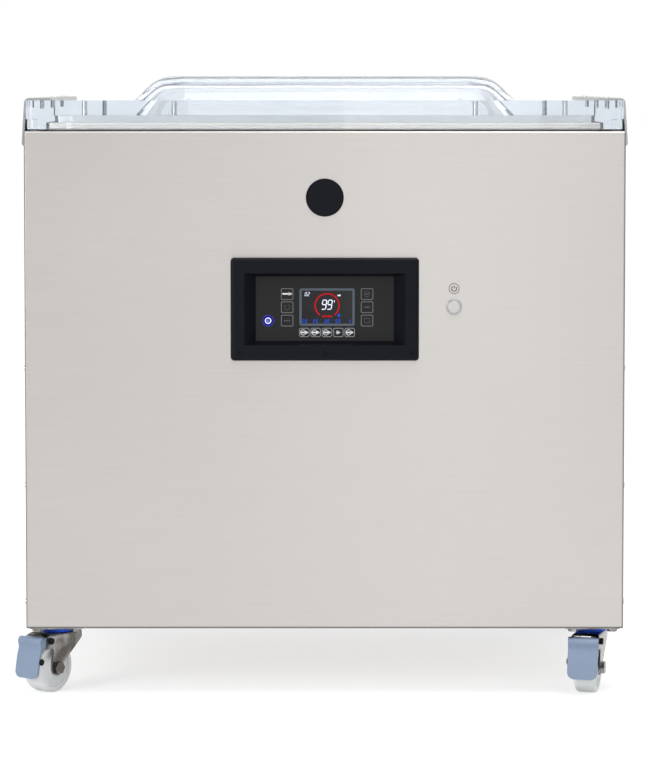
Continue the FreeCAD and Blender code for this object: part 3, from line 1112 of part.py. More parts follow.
def works():
    """Vacuum pump and motor on the base tray, suction hose, valves and transformer."""
    block = new_body("vacuum_pump")
    left = -D.pump_left
    wide = D.pump_width / 2
    pad(block, "XY", pump_low, pump_high, [rect(left, -wide, pump_right, wide, D.mount_radius)])
    ribs = []
    for k in range(4):
        x = left + D.rib_pitch * (k + 1)
        ribs.append(rect(x - D.rib_sheet / 2, -wide + D.mount_margin, x + D.rib_sheet / 2, wide - D.mount_margin))
    pad(block, "XY", pump_high, pump_high + D.rib_reach, ribs)
    pad(block, "XY", pump_high, inlet_top, circles=[(inlet_x, as_size(0), D.inlet_radius)])
    throat = D.hose_radius - D.hose_wall
    pocket(block, "XY", pump_high, inlet_top, circles=[(inlet_x, as_size(0), throat)])

    motor = new_body("pump_motor")
    end = pump_right + D.motor_length
    pad(motor, "YZ", pump_right, end, circles=[(as_size(0), pump_axis, D.motor_radius)])
    pad(motor, "YZ", end, end + D.cowl_length, circles=[(as_size(0), pump_axis, D.motor_radius * 1.04)])
    fillet(motor, D.cowl_length * 0.25, [(end + D.cowl_length, as_size(0), pump_axis + D.motor_radius * 1.04)])
    box_x = pump_right + D.motor_length / 2
    pad(motor, "XY", pump_axis, pump_axis + D.motor_radius + D.terminal_rise,
        [rect(box_x - D.terminal_width / 2, -D.terminal_width * 0.4,
              box_x + D.terminal_width / 2, D.terminal_width * 0.4)])

    housing = new_body("exhaust_filter")
    margin = D.filter_margin
    pad(housing, "YZ", left - D.filter_length, left,
        [rect(-wide + margin, pump_low + margin, wide - margin, pump_high - margin, margin)])
    fillet(housing, margin * 0.6, [(left - D.filter_length, as_size(0), pump_high - margin)])

    mounts = new_body("pump_mounts")
    edge = D.mount_margin
    pad(mounts, "XY", tray_floor, pump_low,
        circles=[(x, sy * (wide - edge), D.mount_radius) for x in (left + edge, pump_right - edge)
                 for sy in (-1, 1)])

    fitting = new_body("suction_fitting")
    pad(fitting, "XY", port_low, under_chamber, circles=[(port_x, as_size(0), D.port_flange)])
    pad(fitting, "XY", port_low - D.spigot_length, port_low,
        circles=[(port_x, as_size(0), throat - D.hole_clear)])
    pocket(fitting, "XY", port_low - D.spigot_length, under_chamber,
           circles=[(port_x, as_size(0), throat - D.hose_wall)])

    hose = new_body("suction_hose")
    bend = D.hose_shift
    rise = bend * math.sqrt(3)
    straight = (port_low - inlet_top - rise) / 2
    path = draw(hose, "XZ", as_size(0))
    stations = [(inlet_x, inlet_top), (inlet_x, inlet_top + straight),
                (inlet_x + bend / 2, inlet_top + straight + rise / 2),
                (port_x, port_low - straight), (port_x, port_low)]
    spots = [Vector(a.value, b.value, 0) for a, b in stations]
    first = path.addGeometry(Part.LineSegment(spots[0], spots[1]))
    last = path.addGeometry(Part.LineSegment(spots[3], spots[4]))
    for line, a, b in ((first, 0, 1), (last, 3, 4)):
        pin_point(path, line, 1, *stations[a])
        pin_point(path, line, 2, *stations[b])
    up = Vector(0, 0, 1)
    low_arc = Part.ArcOfCircle(Part.Circle(spots[1] + Vector(bend.value, 0, 0), up, bend.value),
                               math.radians(120), math.radians(180))
    high_arc = Part.ArcOfCircle(Part.Circle(spots[3] - Vector(bend.value, 0, 0), up, bend.value),
                                math.radians(-60), math.radians(0))
    lower = path.addGeometry(low_arc)
    upper = path.addGeometry(high_arc)
    path.addConstraint(Sketcher.Constraint("Coincident", first, 2, lower, 2))
    path.addConstraint(Sketcher.Constraint("Coincident", lower, 1, upper, 1))
    path.addConstraint(Sketcher.Constraint("Coincident", upper, 2, last, 1))
    pin_point(path, lower, 1, *stations[2])
    for arc in (lower, upper):
        number = path.addConstraint(Sketcher.Constraint("Radius", arc, bend.value))
        bind(path, f"Constraints[{number}]", bend)
    pipe = hose.newObject("PartDesign::AdditivePipe", "suction_hose_pipe")
    pipe.Profile = draw(hose, "XY", inlet_top,
                        circles=[(inlet_x, as_size(0), D.hose_radius), (inlet_x, as_size(0), throat)])
    pipe.Spine = path

    valves = new_body("valve_block")
    near = port_x + D.valve_gap
    valve_low = under_chamber - D.valve_height
    pad(valves, "XY", valve_low, under_chamber,
        [rect(near, -D.valve_length / 2, near + D.valve_width, D.valve_length / 2)])
    pad(valves, "XY", valve_low - D.coil_height, valve_low,
        circles=[(near + D.valve_width * share, as_size(0), D.coil_radius) for share in (0.27, 0.73)])

    core = new_body("seal_transformer")
    right = -inside + D.tray_sheet + D.transformer_side + D.transformer_width
    core_left = right - D.transformer_width
    back = inside_rear - D.tray_sheet - D.transformer_margin
    core_front = back - D.transformer_length
    pad(core, "XY", tray_floor, tray_floor + D.transformer_height, [rect(core_left, core_front, right, back)])
    third = D.transformer_height / 4
    pad(core, "XZ", core_front - D.winding_reach, back + D.winding_reach,
        [rect(core_left + third, tray_floor + third, right - third, tray_floor + D.transformer_height - third)])


cabinet()
chamber()
seal_bars()
lid()
hinge()
controls()
castor_fittings()
castor("front_left", castor_spots[0], D.swivel_front_left, -1, True)
castor("front_right", castor_spots[1], D.swivel_front_right, -1, True)
castor("rear_left", castor_spots[2], D.swivel_rear_left, 1, False)
castor("rear_right", castor_spots[3], D.swivel_rear_right, 1, False)
works()
doc.recompute()

faults = [o.Label for o in doc.Objects if {"Invalid", "Error"} & set(o.State)]
faults += [label for label, o in SUBPARTS.items() if o.Shape.isNull() or not o.Shape.isValid()]
if faults:
    raise RuntimeError("these did not come out sound: " + ", ".join(faults))

os.makedirs("parts", exist_ok=True)
for label, thing in SUBPARTS.items():
    thing.Shape.exportStep(f"parts/{label}.step")
    print(label, len(thing.Shape.Solids), "solids")
print(len(SUBPARTS), "sub-parts")
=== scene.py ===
# %% [markdown]
# # A floor-standing vacuum sealer
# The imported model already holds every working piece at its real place, so this lesson adds the
# looks: finishes for the steel, acrylic and plastic, and the small pieces that a casing drawing
# leaves out. Sizes below are millimetres in the model's own frame, and a mesh is turned into metres
# when it is made.

# %% Load the model that everything is fitted to
import json

import bmesh
import bpy
import numpy as np
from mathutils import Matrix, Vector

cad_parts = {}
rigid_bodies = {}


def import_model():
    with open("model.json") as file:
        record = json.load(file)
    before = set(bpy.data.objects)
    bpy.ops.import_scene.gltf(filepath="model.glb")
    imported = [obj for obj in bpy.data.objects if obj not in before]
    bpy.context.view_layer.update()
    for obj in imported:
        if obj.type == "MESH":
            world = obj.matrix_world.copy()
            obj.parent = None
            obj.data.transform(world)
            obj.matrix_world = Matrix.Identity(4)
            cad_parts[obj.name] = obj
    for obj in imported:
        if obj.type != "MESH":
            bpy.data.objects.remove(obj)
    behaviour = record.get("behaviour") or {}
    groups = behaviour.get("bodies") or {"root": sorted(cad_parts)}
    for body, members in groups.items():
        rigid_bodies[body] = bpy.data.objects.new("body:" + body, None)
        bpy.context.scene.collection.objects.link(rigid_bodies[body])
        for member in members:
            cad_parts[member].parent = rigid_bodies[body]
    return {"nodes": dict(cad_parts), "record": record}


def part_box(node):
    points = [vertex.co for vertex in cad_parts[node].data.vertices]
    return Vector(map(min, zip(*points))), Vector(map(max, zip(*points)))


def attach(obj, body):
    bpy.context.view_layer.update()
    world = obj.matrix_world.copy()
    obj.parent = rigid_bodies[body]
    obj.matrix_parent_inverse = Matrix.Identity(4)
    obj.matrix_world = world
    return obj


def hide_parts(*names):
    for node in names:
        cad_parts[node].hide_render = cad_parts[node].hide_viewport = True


for leftover in list(bpy.data.objects):
    bpy.data.objects.remove(leftover)
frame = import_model()
nodes = frame["nodes"]
scene = bpy.context.scene
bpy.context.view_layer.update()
MM = 0.001

# %% [markdown]
# ## Shapes from arrays
# Every added piece is a grid of points worked out at once with numpy. A grid can be a profile
# carried along a path, such as a rubber seal in its groove, or a profile turned round an axis, such
# as a screw. One helper joins the points to quads, and another puts them into a mesh, closes the
# seams and lets the piece ride on the body that carries it. That is shorter than modelling by hand,
# and every size stays a number to change.

# %% Grid helpers
FRONT = np.array([0.0, -1.0, 0.0])
UP = np.array([0.0, 0.0, 1.0])
SLANT = np.array([0.3, 0.5, 0.8])
SHARPEST_CORNER = 0.4
SEAM = 1e-7


def grid_quads(rows, columns, ring_rows=False, ring_columns=False):
    """Quads of a grid whose point (i, j) has the number i * columns + j; a ring joins its ends."""
    i, j = np.meshgrid(
        np.arange(rows if ring_rows else rows - 1),
        np.arange(columns if ring_columns else columns - 1),
        indexing="ij",
    )
    below = (i + 1) % rows
    beside = (j + 1) % columns
    corners = [i * columns + j, below * columns + j, below * columns + beside, i * columns + beside]
    return np.stack(corners, -1).reshape(-1, 4)


def tube_faces(rows, columns):
    """Faces of a tube of rings, in blocks: the wall, and a flat cap on the first and the last ring."""
    cap = np.arange(columns)[None]
    return [grid_quads(rows, columns, False, True), cap, cap + (rows - 1) * columns]


def unit(vectors):
    """The same directions with length one."""
    return vectors / np.linalg.norm(vectors, axis=-1, keepdims=True)


def carried(profile, path, up, ring=True):
    """A closed profile (across, lift) along a flat path: path + across * side + lift * up.

    Side is at right angles to the path, and is stretched at a corner so that the strip keeps its width.
    """
    leaving = np.roll(path, -1, 0) - path
    if not ring:
        leaving[-1] = leaving[-2]
    arriving = np.roll(leaving, 1, 0)
    if not ring:
        arriving[0] = leaving[0]
    along = unit(unit(leaving) + unit(arriving))
    turn = np.sum(along * unit(leaving), -1, keepdims=True)
    stretch = 1 / np.clip(turn, SHARPEST_CORNER, 1)
    side = np.cross(along, up) * stretch
    points = path[:, None] + profile[None, :, :1] * side[:, None] + profile[None, :, 1:] * up
    rows, columns = len(path), len(profile)
    faces = [grid_quads(rows, columns, True, True)] if ring else tube_faces(rows, columns)
    return points.reshape(-1, 3), faces


def slab(front, back):
    """A closed shell between two equal grids: both faces, and a rim of quads round their edges."""
    rows, columns = front.shape[:2]
    count = rows * columns
    points = np.concatenate([front.reshape(-1, 3), back.reshape(-1, 3)])
    face = grid_quads(rows, columns)
    number = np.arange(count).reshape(rows, columns)
    rim = np.concatenate([number[0, :-1], number[:-1, -1], number[-1, :0:-1], number[:0:-1, 0]])
    ahead = np.roll(rim, -1)
    wall = np.stack([rim, ahead, ahead + count, rim + count], 1)
    return points, [face, face + count, wall]


def turned(radius, along, centre, axis, steps):
    """Points at radius and along, turned round the axis: centre + along * axis + radius * (cos, sin).

    Radius is one number a row, or one row of numbers, one for each angle.
    """
    axis = np.asarray(axis, float)
    side = unit(np.cross(axis, SLANT))
    other = np.cross(axis, side)
    angle = np.linspace(0, 2 * np.pi, steps, endpoint=False)
    spoke = np.cos(angle)[:, None] * side + np.sin(angle)[:, None] * other
    radius = np.asarray(radius, float).reshape(len(along), -1) * np.ones(steps)
    middle = np.asarray(centre) + np.asarray(along)[:, None, None] * axis
    points = middle + radius[:, :, None] * spoke
    return points.reshape(-1, 3), [grid_quads(len(along), steps, False, True)]


def make_piece(name, parts, body, material, replaces=None, crease=35):
    """One mesh from parts of points and blocks of faces: seams merged, normals outward, on its body."""
    starts = np.cumsum([0] + [len(points) for points, _ in parts])
    points = np.concatenate([points for points, _ in parts]) * MM
    faces = []
    for (_, blocks), start in zip(parts, starts):
        for block in blocks:
            faces += (block + start).tolist()
    mesh = bpy.data.meshes.new(name)
    mesh.from_pydata(points.tolist(), [], faces)
    shape = bmesh.new()
    shape.from_mesh(mesh)
    bmesh.ops.remove_doubles(shape, verts=shape.verts, dist=SEAM)
    bmesh.ops.recalc_face_normals(shape, faces=shape.faces)
    shape.to_mesh(mesh)
    shape.free()
    mesh.shade_smooth()
    mesh.set_sharp_from_angle(angle=np.radians(crease))
    mesh.materials.append(material)
    piece = bpy.data.objects.new(name, mesh)
    scene.collection.objects.link(piece)
    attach(piece, body)
    if replaces:
        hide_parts(replaces)
    print(name, len(mesh.polygons), "faces")


# %% [markdown]
# ## Node helpers
# A finish is a small net of shader nodes. These helpers add a node with its inputs set or joined in
# one line, so that the cells below read like a recipe. Patterns read Object coordinates, which are
# metres in the model's frame, so a grain has the same size on every piece.

# %% Node helpers


def add(tree, kind, inputs=None, **settings):
    """A shader node of this kind, each input set to a value or joined to a socket."""
    node = tree.nodes.new(f"ShaderNode{kind}")
    for name, value in settings.items():
        setattr(node, name, value)
    for name, value in (inputs or {}).items():
        if isinstance(value, bpy.types.NodeSocket):
            tree.links.new(value, node.inputs[name])
        else:
            node.inputs[name].default_value = value
    return node


def blend(tree, mask, first, second):
    """A colour that goes from the first to the second as the mask goes from 0 to 1."""
    return add(tree, "Mix", {0: mask, 6: first, 7: second}, data_type="RGBA").outputs[2]


def spread(tree, value, low, high):
    """A value from 0 to 1, spread to the range from low to high."""
    return add(tree, "MapRange", {"Value": value, "To Min": low, "To Max": high}).outputs[0]


def ramp(tree, value, low, high):
    """0 where the value is at low, 1 where it is at high, and even between."""
    return add(tree, "MapRange", {"Value": value, "From Min": low, "From Max": high}).outputs[0]


def maths(tree, operation, *values):
    """One step of arithmetic on one, two or three values."""
    return add(tree, "Math", dict(enumerate(values)), operation=operation).outputs[0]


def new_group(name, inputs, outputs):
    """An empty node group with its named sockets."""
    group = bpy.data.node_groups.new(name, "ShaderNodeTree")
    for label, kind, value in inputs:
        socket = group.interface.new_socket(label, in_out="INPUT", socket_type=f"NodeSocket{kind}")
        if value is not None:
            socket.default_value = value
    for label in outputs:
        group.interface.new_socket(label, in_out="OUTPUT", socket_type="NodeSocketFloat")
    enter = group.nodes.new("NodeGroupInput")
    leave = group.nodes.new("NodeGroupOutput")
    return group, enter.outputs, leave.inputs


def use(tree, group, inputs):
    """A group placed in a material, each input set to a value or joined to a socket."""
    return add(tree, "Group", inputs, node_tree=group).outputs


def new_material(name, **sockets):
    """A material with one Principled shader, whose plain values are set on its own sockets."""
    material = bpy.data.materials.new(name)
    material.use_nodes = True
    tree = material.node_tree
    shader = tree.nodes["Principled BSDF"]
    for label, value in sockets.items():
        shader.inputs[label.replace("_", " ")].default_value = value
    return material, tree, shader


def place(tree, stretch=(1, 1, 1)):
    """Object coordinates, stretched along each axis."""
    spot = add(tree, "TexCoord").outputs["Object"]
    return add(tree, "Mapping", {"Vector": spot, "Scale": stretch}).outputs["Vector"]


def join(tree, socket, shader, name):
    """Feed one input of the shader."""
    tree.links.new(socket, shader.inputs[name])


def bump(tree, height, shader, strength, distance):
    """Small relief from a height, in metres of depth."""
    node = add(tree, "Bump", {"Height": height, "Strength": strength, "Distance": distance})
    join(tree, node.outputs["Normal"], shader, "Normal")


# %% [markdown]
# ## Effects that several finishes share
# Brushing leaves long fine scratches, hands leave dull patches, moulded plastic has a fine skin,
# and edges wear bright. Each of these is a node group, built once and placed in every finish with
# its own values.

# %% Brushed grain, handling marks, moulded skin and edge wear
grain_group, enter, leave = new_group(
    "brushed_grain", [("Vector", "Vector", None)], ["Streak", "Height"]
)
tree = leave[0].id_data
spot = enter["Vector"]
coarse = add(tree, "TexNoise", {"Vector": spot, "Scale": 1.0, "Detail": 5.0, "Roughness": 0.7})
fine = add(tree, "TexNoise", {"Vector": spot, "Scale": 4.0, "Detail": 2.0, "Roughness": 0.6})
both = maths(tree, "ADD", coarse.outputs[0], fine.outputs[0])
tree.links.new(ramp(tree, both, 0.7, 1.3), leave["Streak"])
tree.links.new(fine.outputs[0], leave["Height"])

marks_group, enter, leave = new_group(
    "handling_marks", [("Vector", "Vector", None), ("Scale", "Float", 3.0)], ["Mask"]
)
tree = leave[0].id_data
cloud = add(tree, "TexNoise", {"Vector": enter["Vector"], "Scale": enter["Scale"], "Detail": 4.0})
tree.links.new(ramp(tree, cloud.outputs[0], 0.42, 0.68), leave["Mask"])

skin_group, enter, leave = new_group(
    "moulded_skin", [("Vector", "Vector", None), ("Scale", "Float", 900.0)], ["Speckle", "Height"]
)
tree = leave[0].id_data
cells = add(tree, "TexVoronoi", {"Vector": enter["Vector"], "Scale": enter["Scale"]})
haze = add(tree, "TexNoise", {"Vector": enter["Vector"], "Scale": enter["Scale"], "Detail": 2.0})
speckle = maths(tree, "MULTIPLY", cells.outputs["Distance"], haze.outputs[0])
tree.links.new(maths(tree, "MULTIPLY", speckle, 2.0), leave["Speckle"])
tree.links.new(cells.outputs["Distance"], leave["Height"])

wear_group, enter, leave = new_group(
    "edge_wear", [("Vector", "Vector", None), ("Width", "Float", 0.001)], ["Mask"]
)
tree = leave[0].id_data
rounded = add(tree, "Bevel", {"Radius": enter["Width"]}, samples=4)
facing = add(tree, "NewGeometry")
turn = add(
    tree, "VectorMath", {0: rounded.outputs[0], 1: facing.outputs["Normal"]}, operation="DOT_PRODUCT"
)
edge = ramp(tree, turn.outputs["Value"], 0.98, 0.78)
chips = add(tree, "TexNoise", {"Vector": enter["Vector"], "Scale": 140.0, "Detail": 3.0})
broken = ramp(tree, chips.outputs[0], 0.35, 0.65)
tree.links.new(maths(tree, "MULTIPLY", edge, broken), leave["Mask"])
print("effects:", len(bpy.data.node_groups))

# %% [markdown]
# ## Steel and aluminium
# The cabinet is satin stainless sheet, brushed level, so its grain runs along the panels and the
# light smears up and down across it. Stretching the noise does that: a panel reads it slowly along
# X and Y and quickly along Z. The arms are brushed lengthwise, the chamber across, and the castor
# forks are pressed from plain sheet with a mottled skin. All are fully metallic, and only their
# tone, grain and polish differ, except that the front panel has a painted shade on its bent sides
# and lower edge.

# %% Brushed sheet
# Where a painted shade darkens the front panel: its bent sides, its lower edge, near its face.
BEND_SIDE = (0.4715, 0.4745)
LOW_EDGE_SHADE = (0.1115, 0.1090)
BEND_FACE = (-0.3555, -0.3585)
STREAK_SHARE = 0.7
MARK_SHARE = 0.3
GRAIN_DEPTH = 0.0002


def bend_shade_mask(tree):
    """Mask of a painted shade: 1 near the front panel's bent sides and lower edge, close to its face."""
    axes = add(tree, "SeparateXYZ", {"Vector": place(tree)}).outputs
    across = maths(tree, "ABSOLUTE", axes["X"])
    side = ramp(tree, across, *BEND_SIDE)
    low = ramp(tree, axes["Z"], *LOW_EDGE_SHADE)
    face = ramp(tree, axes["Y"], *BEND_FACE)
    return maths(tree, "MULTIPLY", maths(tree, "MAXIMUM", side, low), face)


def brushed_metal(name, dark, light, stretch, polish, relief=0.05, bend_shade=None, **sockets):
    """Metal whose streaks and handling marks tint it and change its polish; painted shade darkens edges.
    """
    material, tree, shader = new_material(name, Metallic=1.0, **sockets)
    spot = place(tree)
    streak = use(tree, grain_group, {"Vector": place(tree, stretch)})
    mark = use(tree, marks_group, {"Vector": spot, "Scale": 2.5})["Mask"]
    tone = maths(
        tree, "MULTIPLY_ADD", streak["Streak"], STREAK_SHARE, maths(tree, "MULTIPLY", mark, MARK_SHARE)
    )
    tint = blend(tree, tone, dark, light)
    # The front panel's edges are painted dark here, a painted shade along its bent sides and lower edge.
    if bend_shade:
        tint = blend(tree, bend_shade_mask(tree), tint, bend_shade)
    join(tree, tint, shader, "Base Color")
    join(tree, spread(tree, maths(tree, "ADD", streak["Streak"], mark), *polish), shader, "Roughness")
    bump(tree, streak["Height"], shader, relief, GRAIN_DEPTH)
    return material


LEVEL_GRAIN = {"Anisotropic": 0.8, "Anisotropic_Rotation": 0.25}
SHEET = ((0.50, 0.475, 0.455, 1), (0.56, 0.535, 0.515, 1), (3, 3, 900), (0.32, 0.40))
panel_steel = brushed_metal("panel_steel", *SHEET, **LEVEL_GRAIN)
# The dark colour here is a painted shade for the front panel's bent sides and lower edge.
front_steel = brushed_metal("front_steel", *SHEET, bend_shade=(0.12, 0.115, 0.11, 1), **LEVEL_GRAIN)
satin_steel = brushed_metal(
    "satin_steel", (0.50, 0.48, 0.465, 1), (0.60, 0.58, 0.565, 1), (3, 3, 600), (0.40, 0.50)
)
chamber_steel = brushed_metal(
    "chamber_steel", (0.58, 0.57, 0.56, 1), (0.72, 0.71, 0.70, 1), (3, 700, 700), (0.20, 0.32)
)
arm_steel = brushed_metal(
    "arm_steel", (0.32, 0.32, 0.33, 1), (0.44, 0.44, 0.45, 1), (900, 4, 900), (0.20, 0.32)
)
aluminium_bar = brushed_metal(
    "aluminium_bar", (0.86, 0.87, 0.88, 1), (0.94, 0.95, 0.95, 1), (3, 600, 600), (0.45, 0.58)
)
bright_steel = brushed_metal(
    "bright_steel", (0.55, 0.55, 0.55, 1), (0.72, 0.72, 0.72, 1), (300, 300, 300), (0.16, 0.28), 0.03
)

# %% Castor forks, valve brass and transformer iron
WORN_WIDTH = 0.0012
WORN_GAIN = 1.25
MOTTLE_RELIEF = 0.08


def mottled_metal(name, dark, light, scale, polish):
    """Pressed or cast metal: soft mottles, bright worn edges."""
    material, tree, shader = new_material(name, Metallic=1.0)
    spot = place(tree)
    mottle = use(tree, marks_group, {"Vector": spot, "Scale": scale})["Mask"]
    worn = use(tree, wear_group, {"Vector": spot, "Width": WORN_WIDTH})["Mask"]
    plain = blend(tree, mottle, dark, light)
    bright = tuple(min(1.0, WORN_GAIN * c) for c in light[:3]) + (1,)
    join(tree, blend(tree, worn, plain, bright), shader, "Base Color")
    join(tree, spread(tree, mottle, *polish), shader, "Roughness")
    bump(tree, mottle, shader, MOTTLE_RELIEF, GRAIN_DEPTH)
    return material


castor_steel = mottled_metal(
    "castor_steel", (0.13, 0.12, 0.11, 1), (0.40, 0.39, 0.38, 1), 38, (0.18, 0.32)
)
valve_brass = mottled_metal(
    "valve_brass", (0.50, 0.36, 0.13, 1), (0.66, 0.50, 0.22, 1), 60, (0.22, 0.38)
)
transformer_iron = mottled_metal(
    "transformer_iron", (0.06, 0.06, 0.06, 1), (0.16, 0.15, 0.14, 1), 90, (0.35, 0.55)
)
print("metals done")

# %% [markdown]
# ## Plastics, rubber and paint
# The bezel and keypad are moulded and printed plastics, the castor pedals are blue-grey, the wheels
# are milky nylon, and the seals are cream rubber. One recipe makes them all: a colour with a fine
# speckle, a skin that breaks up the gloss, and paler edges where hands and feet rub.

# %% Moulded materials
SKIN_DEPTH = 0.0001
RUBBED_WIDTH = 0.0008
RUBBED_SHARE = 0.5
SPECKLE_SHARE = 0.35


def moulded(name, colour, pale, grain, gloss, relief=0.15, **sockets):
    """Plastic or rubber with a speckled skin, dull patches and rubbed edges."""
    material, tree, shader = new_material(name, **sockets)
    spot = place(tree)
    skin = use(tree, skin_group, {"Vector": spot, "Scale": grain})
    mark = use(tree, marks_group, {"Vector": spot, "Scale": 9.0})["Mask"]
    worn = use(tree, wear_group, {"Vector": spot, "Width": RUBBED_WIDTH})["Mask"]
    body = blend(tree, maths(tree, "MULTIPLY", skin["Speckle"], SPECKLE_SHARE), colour, pale)
    rubbed = maths(tree, "MULTIPLY", worn, RUBBED_SHARE)
    join(tree, blend(tree, rubbed, body, pale), shader, "Base Color")
    join(tree, spread(tree, mark, *gloss), shader, "Roughness")
    bump(tree, skin["Height"], shader, relief, SKIN_DEPTH)
    return material


bezel_plastic = moulded(
    "bezel_plastic", (0.003, 0.0035, 0.006, 1), (0.009, 0.010, 0.016, 1), 900, (0.34, 0.46),
    Specular_IOR_Level=0.11,
)
foil = moulded(
    "foil", (0.015, 0.015, 0.015, 1), (0.020, 0.020, 0.020, 1), 1500, (0.42, 0.52), 0.05,
    Specular_IOR_Level=0.16,
)
black_plastic = moulded(
    "black_plastic", (0.002, 0.002, 0.002, 1), (0.008, 0.008, 0.008, 1), 700, (0.35, 0.5),
    Specular_IOR_Level=0.1,
)
seal_blue = moulded(
    "seal_blue", (0.001, 0.085, 0.76, 1), (0.004, 0.13, 0.85, 1), 500, (0.22, 0.36),
    Specular_IOR_Level=0.2,
)
nylon = moulded(
    "nylon", (0.88, 0.90, 0.90, 1), (0.95, 0.96, 0.96, 1), 350, (0.30, 0.45), 0.1,
    Subsurface_Weight=0.15, Subsurface_Radius=(0.006, 0.006, 0.006), Subsurface_Scale=1.0,
)
pedal_plastic = moulded(
    "pedal_plastic", (0.20, 0.265, 0.38, 1), (0.33, 0.41, 0.53, 1), 600, (0.36, 0.5)
)
silicone = moulded("silicone", (0.66, 0.63, 0.57, 1), (0.80, 0.78, 0.73, 1), 600, (0.34, 0.5))
rubber = moulded(
    "rubber", (0.004, 0.004, 0.004, 1), (0.016, 0.016, 0.016, 1), 450, (0.5, 0.7), 0.3,
    Specular_IOR_Level=0.15,
)
pump_paint = moulded(
    "pump_paint", (0.09, 0.11, 0.13, 1), (0.2, 0.22, 0.24, 1), 260, (0.28, 0.42), 0.3
)
seal_tape = moulded(
    "seal_tape", (0.30, 0.17, 0.08, 1), (0.44, 0.28, 0.15, 1), 1400, (0.3, 0.42), 0.4
)
print("plastics done")

# %% [markdown]
# ## Acrylic and display glass
# The lid is one thick casting of clear acrylic. It is a touch blue when seen edge on, because light
# crosses half a metre of it, and a little absorption in the volume does that. A thin haze and fine
# wiping scratches keep it pale, and a gentle bend of the light keeps its edges thin. The display
# window is dark glass.

# %% Clear acrylic
clear_acrylic, tree, shader = new_material(
    "clear_acrylic", IOR=1.1, Transmission_Weight=0.9, Coat_Weight=0.5, Coat_Roughness=0.02
)
scratch = use(tree, grain_group, {"Vector": place(tree, (60, 900, 400))})
join(tree, spread(tree, scratch["Streak"], 0.0, 0.03), shader, "Roughness")
haze = use(tree, marks_group, {"Vector": place(tree), "Scale": 6.0})["Mask"]
tint = blend(tree, haze, (0.91, 0.935, 0.965, 1), (0.88, 0.915, 0.955, 1))
join(tree, tint, shader, "Base Color")
depth_tint = add(tree, "VolumeAbsorption", {"Color": (0.78, 0.85, 0.92, 1), "Density": 1.3})
tree.links.new(depth_tint.outputs[0], tree.nodes["Material Output"].inputs["Volume"])

# %% Display glass and circuit board
display_glass, tree, shader = new_material(
    "display_glass", Coat_Weight=0.1, Coat_Roughness=0.05, Specular_IOR_Level=0.2
)
smear = use(tree, marks_group, {"Vector": place(tree), "Scale": 40.0})["Mask"]
tint = blend(tree, smear, (0.008, 0.008, 0.009, 1), (0.012, 0.012, 0.013, 1))
join(tree, tint, shader, "Base Color")
join(tree, spread(tree, smear, 0.12, 0.24), shader, "Roughness")

circuit_board, tree, shader = new_material("circuit_board", Coat_Weight=0.3)
tracks = add(tree, "TexBrick", {
    "Vector": place(tree), "Scale": 60.0, "Mortar Size": 0.06, "Color1": (0.01, 0.13, 0.05, 1),
    "Color2": (0.015, 0.17, 0.065, 1), "Mortar": (0.03, 0.26, 0.11, 1),
})
join(tree, tracks.outputs[0], shader, "Base Color")
join(tree, spread(tree, tracks.outputs[1], 0.3, 0.45), shader, "Roughness")

# %% Give every CAD node the finish of its slot
finishes = {
    "panel_steel": panel_steel,
    "chamber_steel": chamber_steel,
    "arm_steel": arm_steel,
    "bright_steel": bright_steel,
    "castor_steel": castor_steel,
    "aluminium_bar": aluminium_bar,
    "clear_acrylic": clear_acrylic,
    "gasket_rubber": silicone,
    "silicone": silicone,
    "bezel_plastic": bezel_plastic,
    "foil": foil,
    "display_glass": display_glass,
    "circuit_board": circuit_board,
    "black_plastic": black_plastic,
    "seal_blue": seal_blue,
    "nylon": nylon,
    "pedal_plastic": pedal_plastic,
    "pump_paint": pump_paint,
    "rubber": rubber,
    "valve_brass": valve_brass,
    "transformer_iron": transformer_iron,
}
for subpart in frame["record"]["subparts"]:
    node = nodes[subpart["node"]]
    node.data.materials.clear()
    node.data.materials.append(finishes[subpart["material_slot"]])
nodes["power_button"].data.materials[0] = satin_steel
nodes["switch_collar"].data.materials[0] = arm_steel
nodes["front_panel"].data.materials[0] = front_steel
# The axles and castor bolts take the darker castor steel; on the bolts this darker tone is a painted
# shade for the shadow under the castor plates.
for name in nodes:
    if name.endswith("_axle") or name == "castor_bolts":
        nodes[name].data.materials[0] = castor_steel
print("finishes:", len(finishes))

# %% [markdown]
# ## Printed keys
# The keypad is one foil with white ink on its back. Each key is a square outline, the row under the
# display has five small boxes, and the standby key is lit from behind in blue. An outline is a thin
# strip carried round a rounded square, lifted a tenth of a millimetre off the foil so that it never
# flickers into it.

# %% Flat paths on the control panel
foil_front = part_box("keypad_foil")[0].y / MM
STRIP = np.array([[-0.5, 0.0], [-0.5, 1.0], [0.5, 1.0], [0.5, 0.0]])
INK = 0.1
# a ring of 48 points ends one step short of a full turn
RING_END = 352.5


def on_panel(flat, x, z, y):
    """Flat (right, up) points set on the upright plane at y."""
    return np.stack([x + flat[:, 0], np.full(len(flat), y), z + flat[:, 1]], 1)


def rounded_square(width, height, radius, steps=6):
    """A rounded rectangle: each corner's centre plus radius * (cos, sin) over a quarter turn."""
    turns = np.linspace(0, np.pi / 2, steps)
    quarter = np.arange(4)[:, None] * np.pi / 2
    angle = quarter + turns[None]
    signs = np.array([[1, 1], [-1, 1], [-1, -1], [1, -1]])
    centre = signs * [width / 2 - radius, height / 2 - radius]
    points = centre[:, None] + radius * np.stack([np.cos(angle), np.sin(angle)], -1)
    return points.reshape(-1, 2)


def arc(radius, start, end, steps=48):
    """Part of a circle: radius * (cos, sin) from start to end, in degrees."""
    angle = np.radians(np.linspace(start, end, steps))
    return radius * np.stack([np.cos(angle), np.sin(angle)], 1)


def line(path, x, z, width, ring=False, y=foil_front, lift=INK):
    """A strip of ink of this width along a flat path."""
    return carried(STRIP * [width, lift], on_panel(path, x, z, y), FRONT, ring)


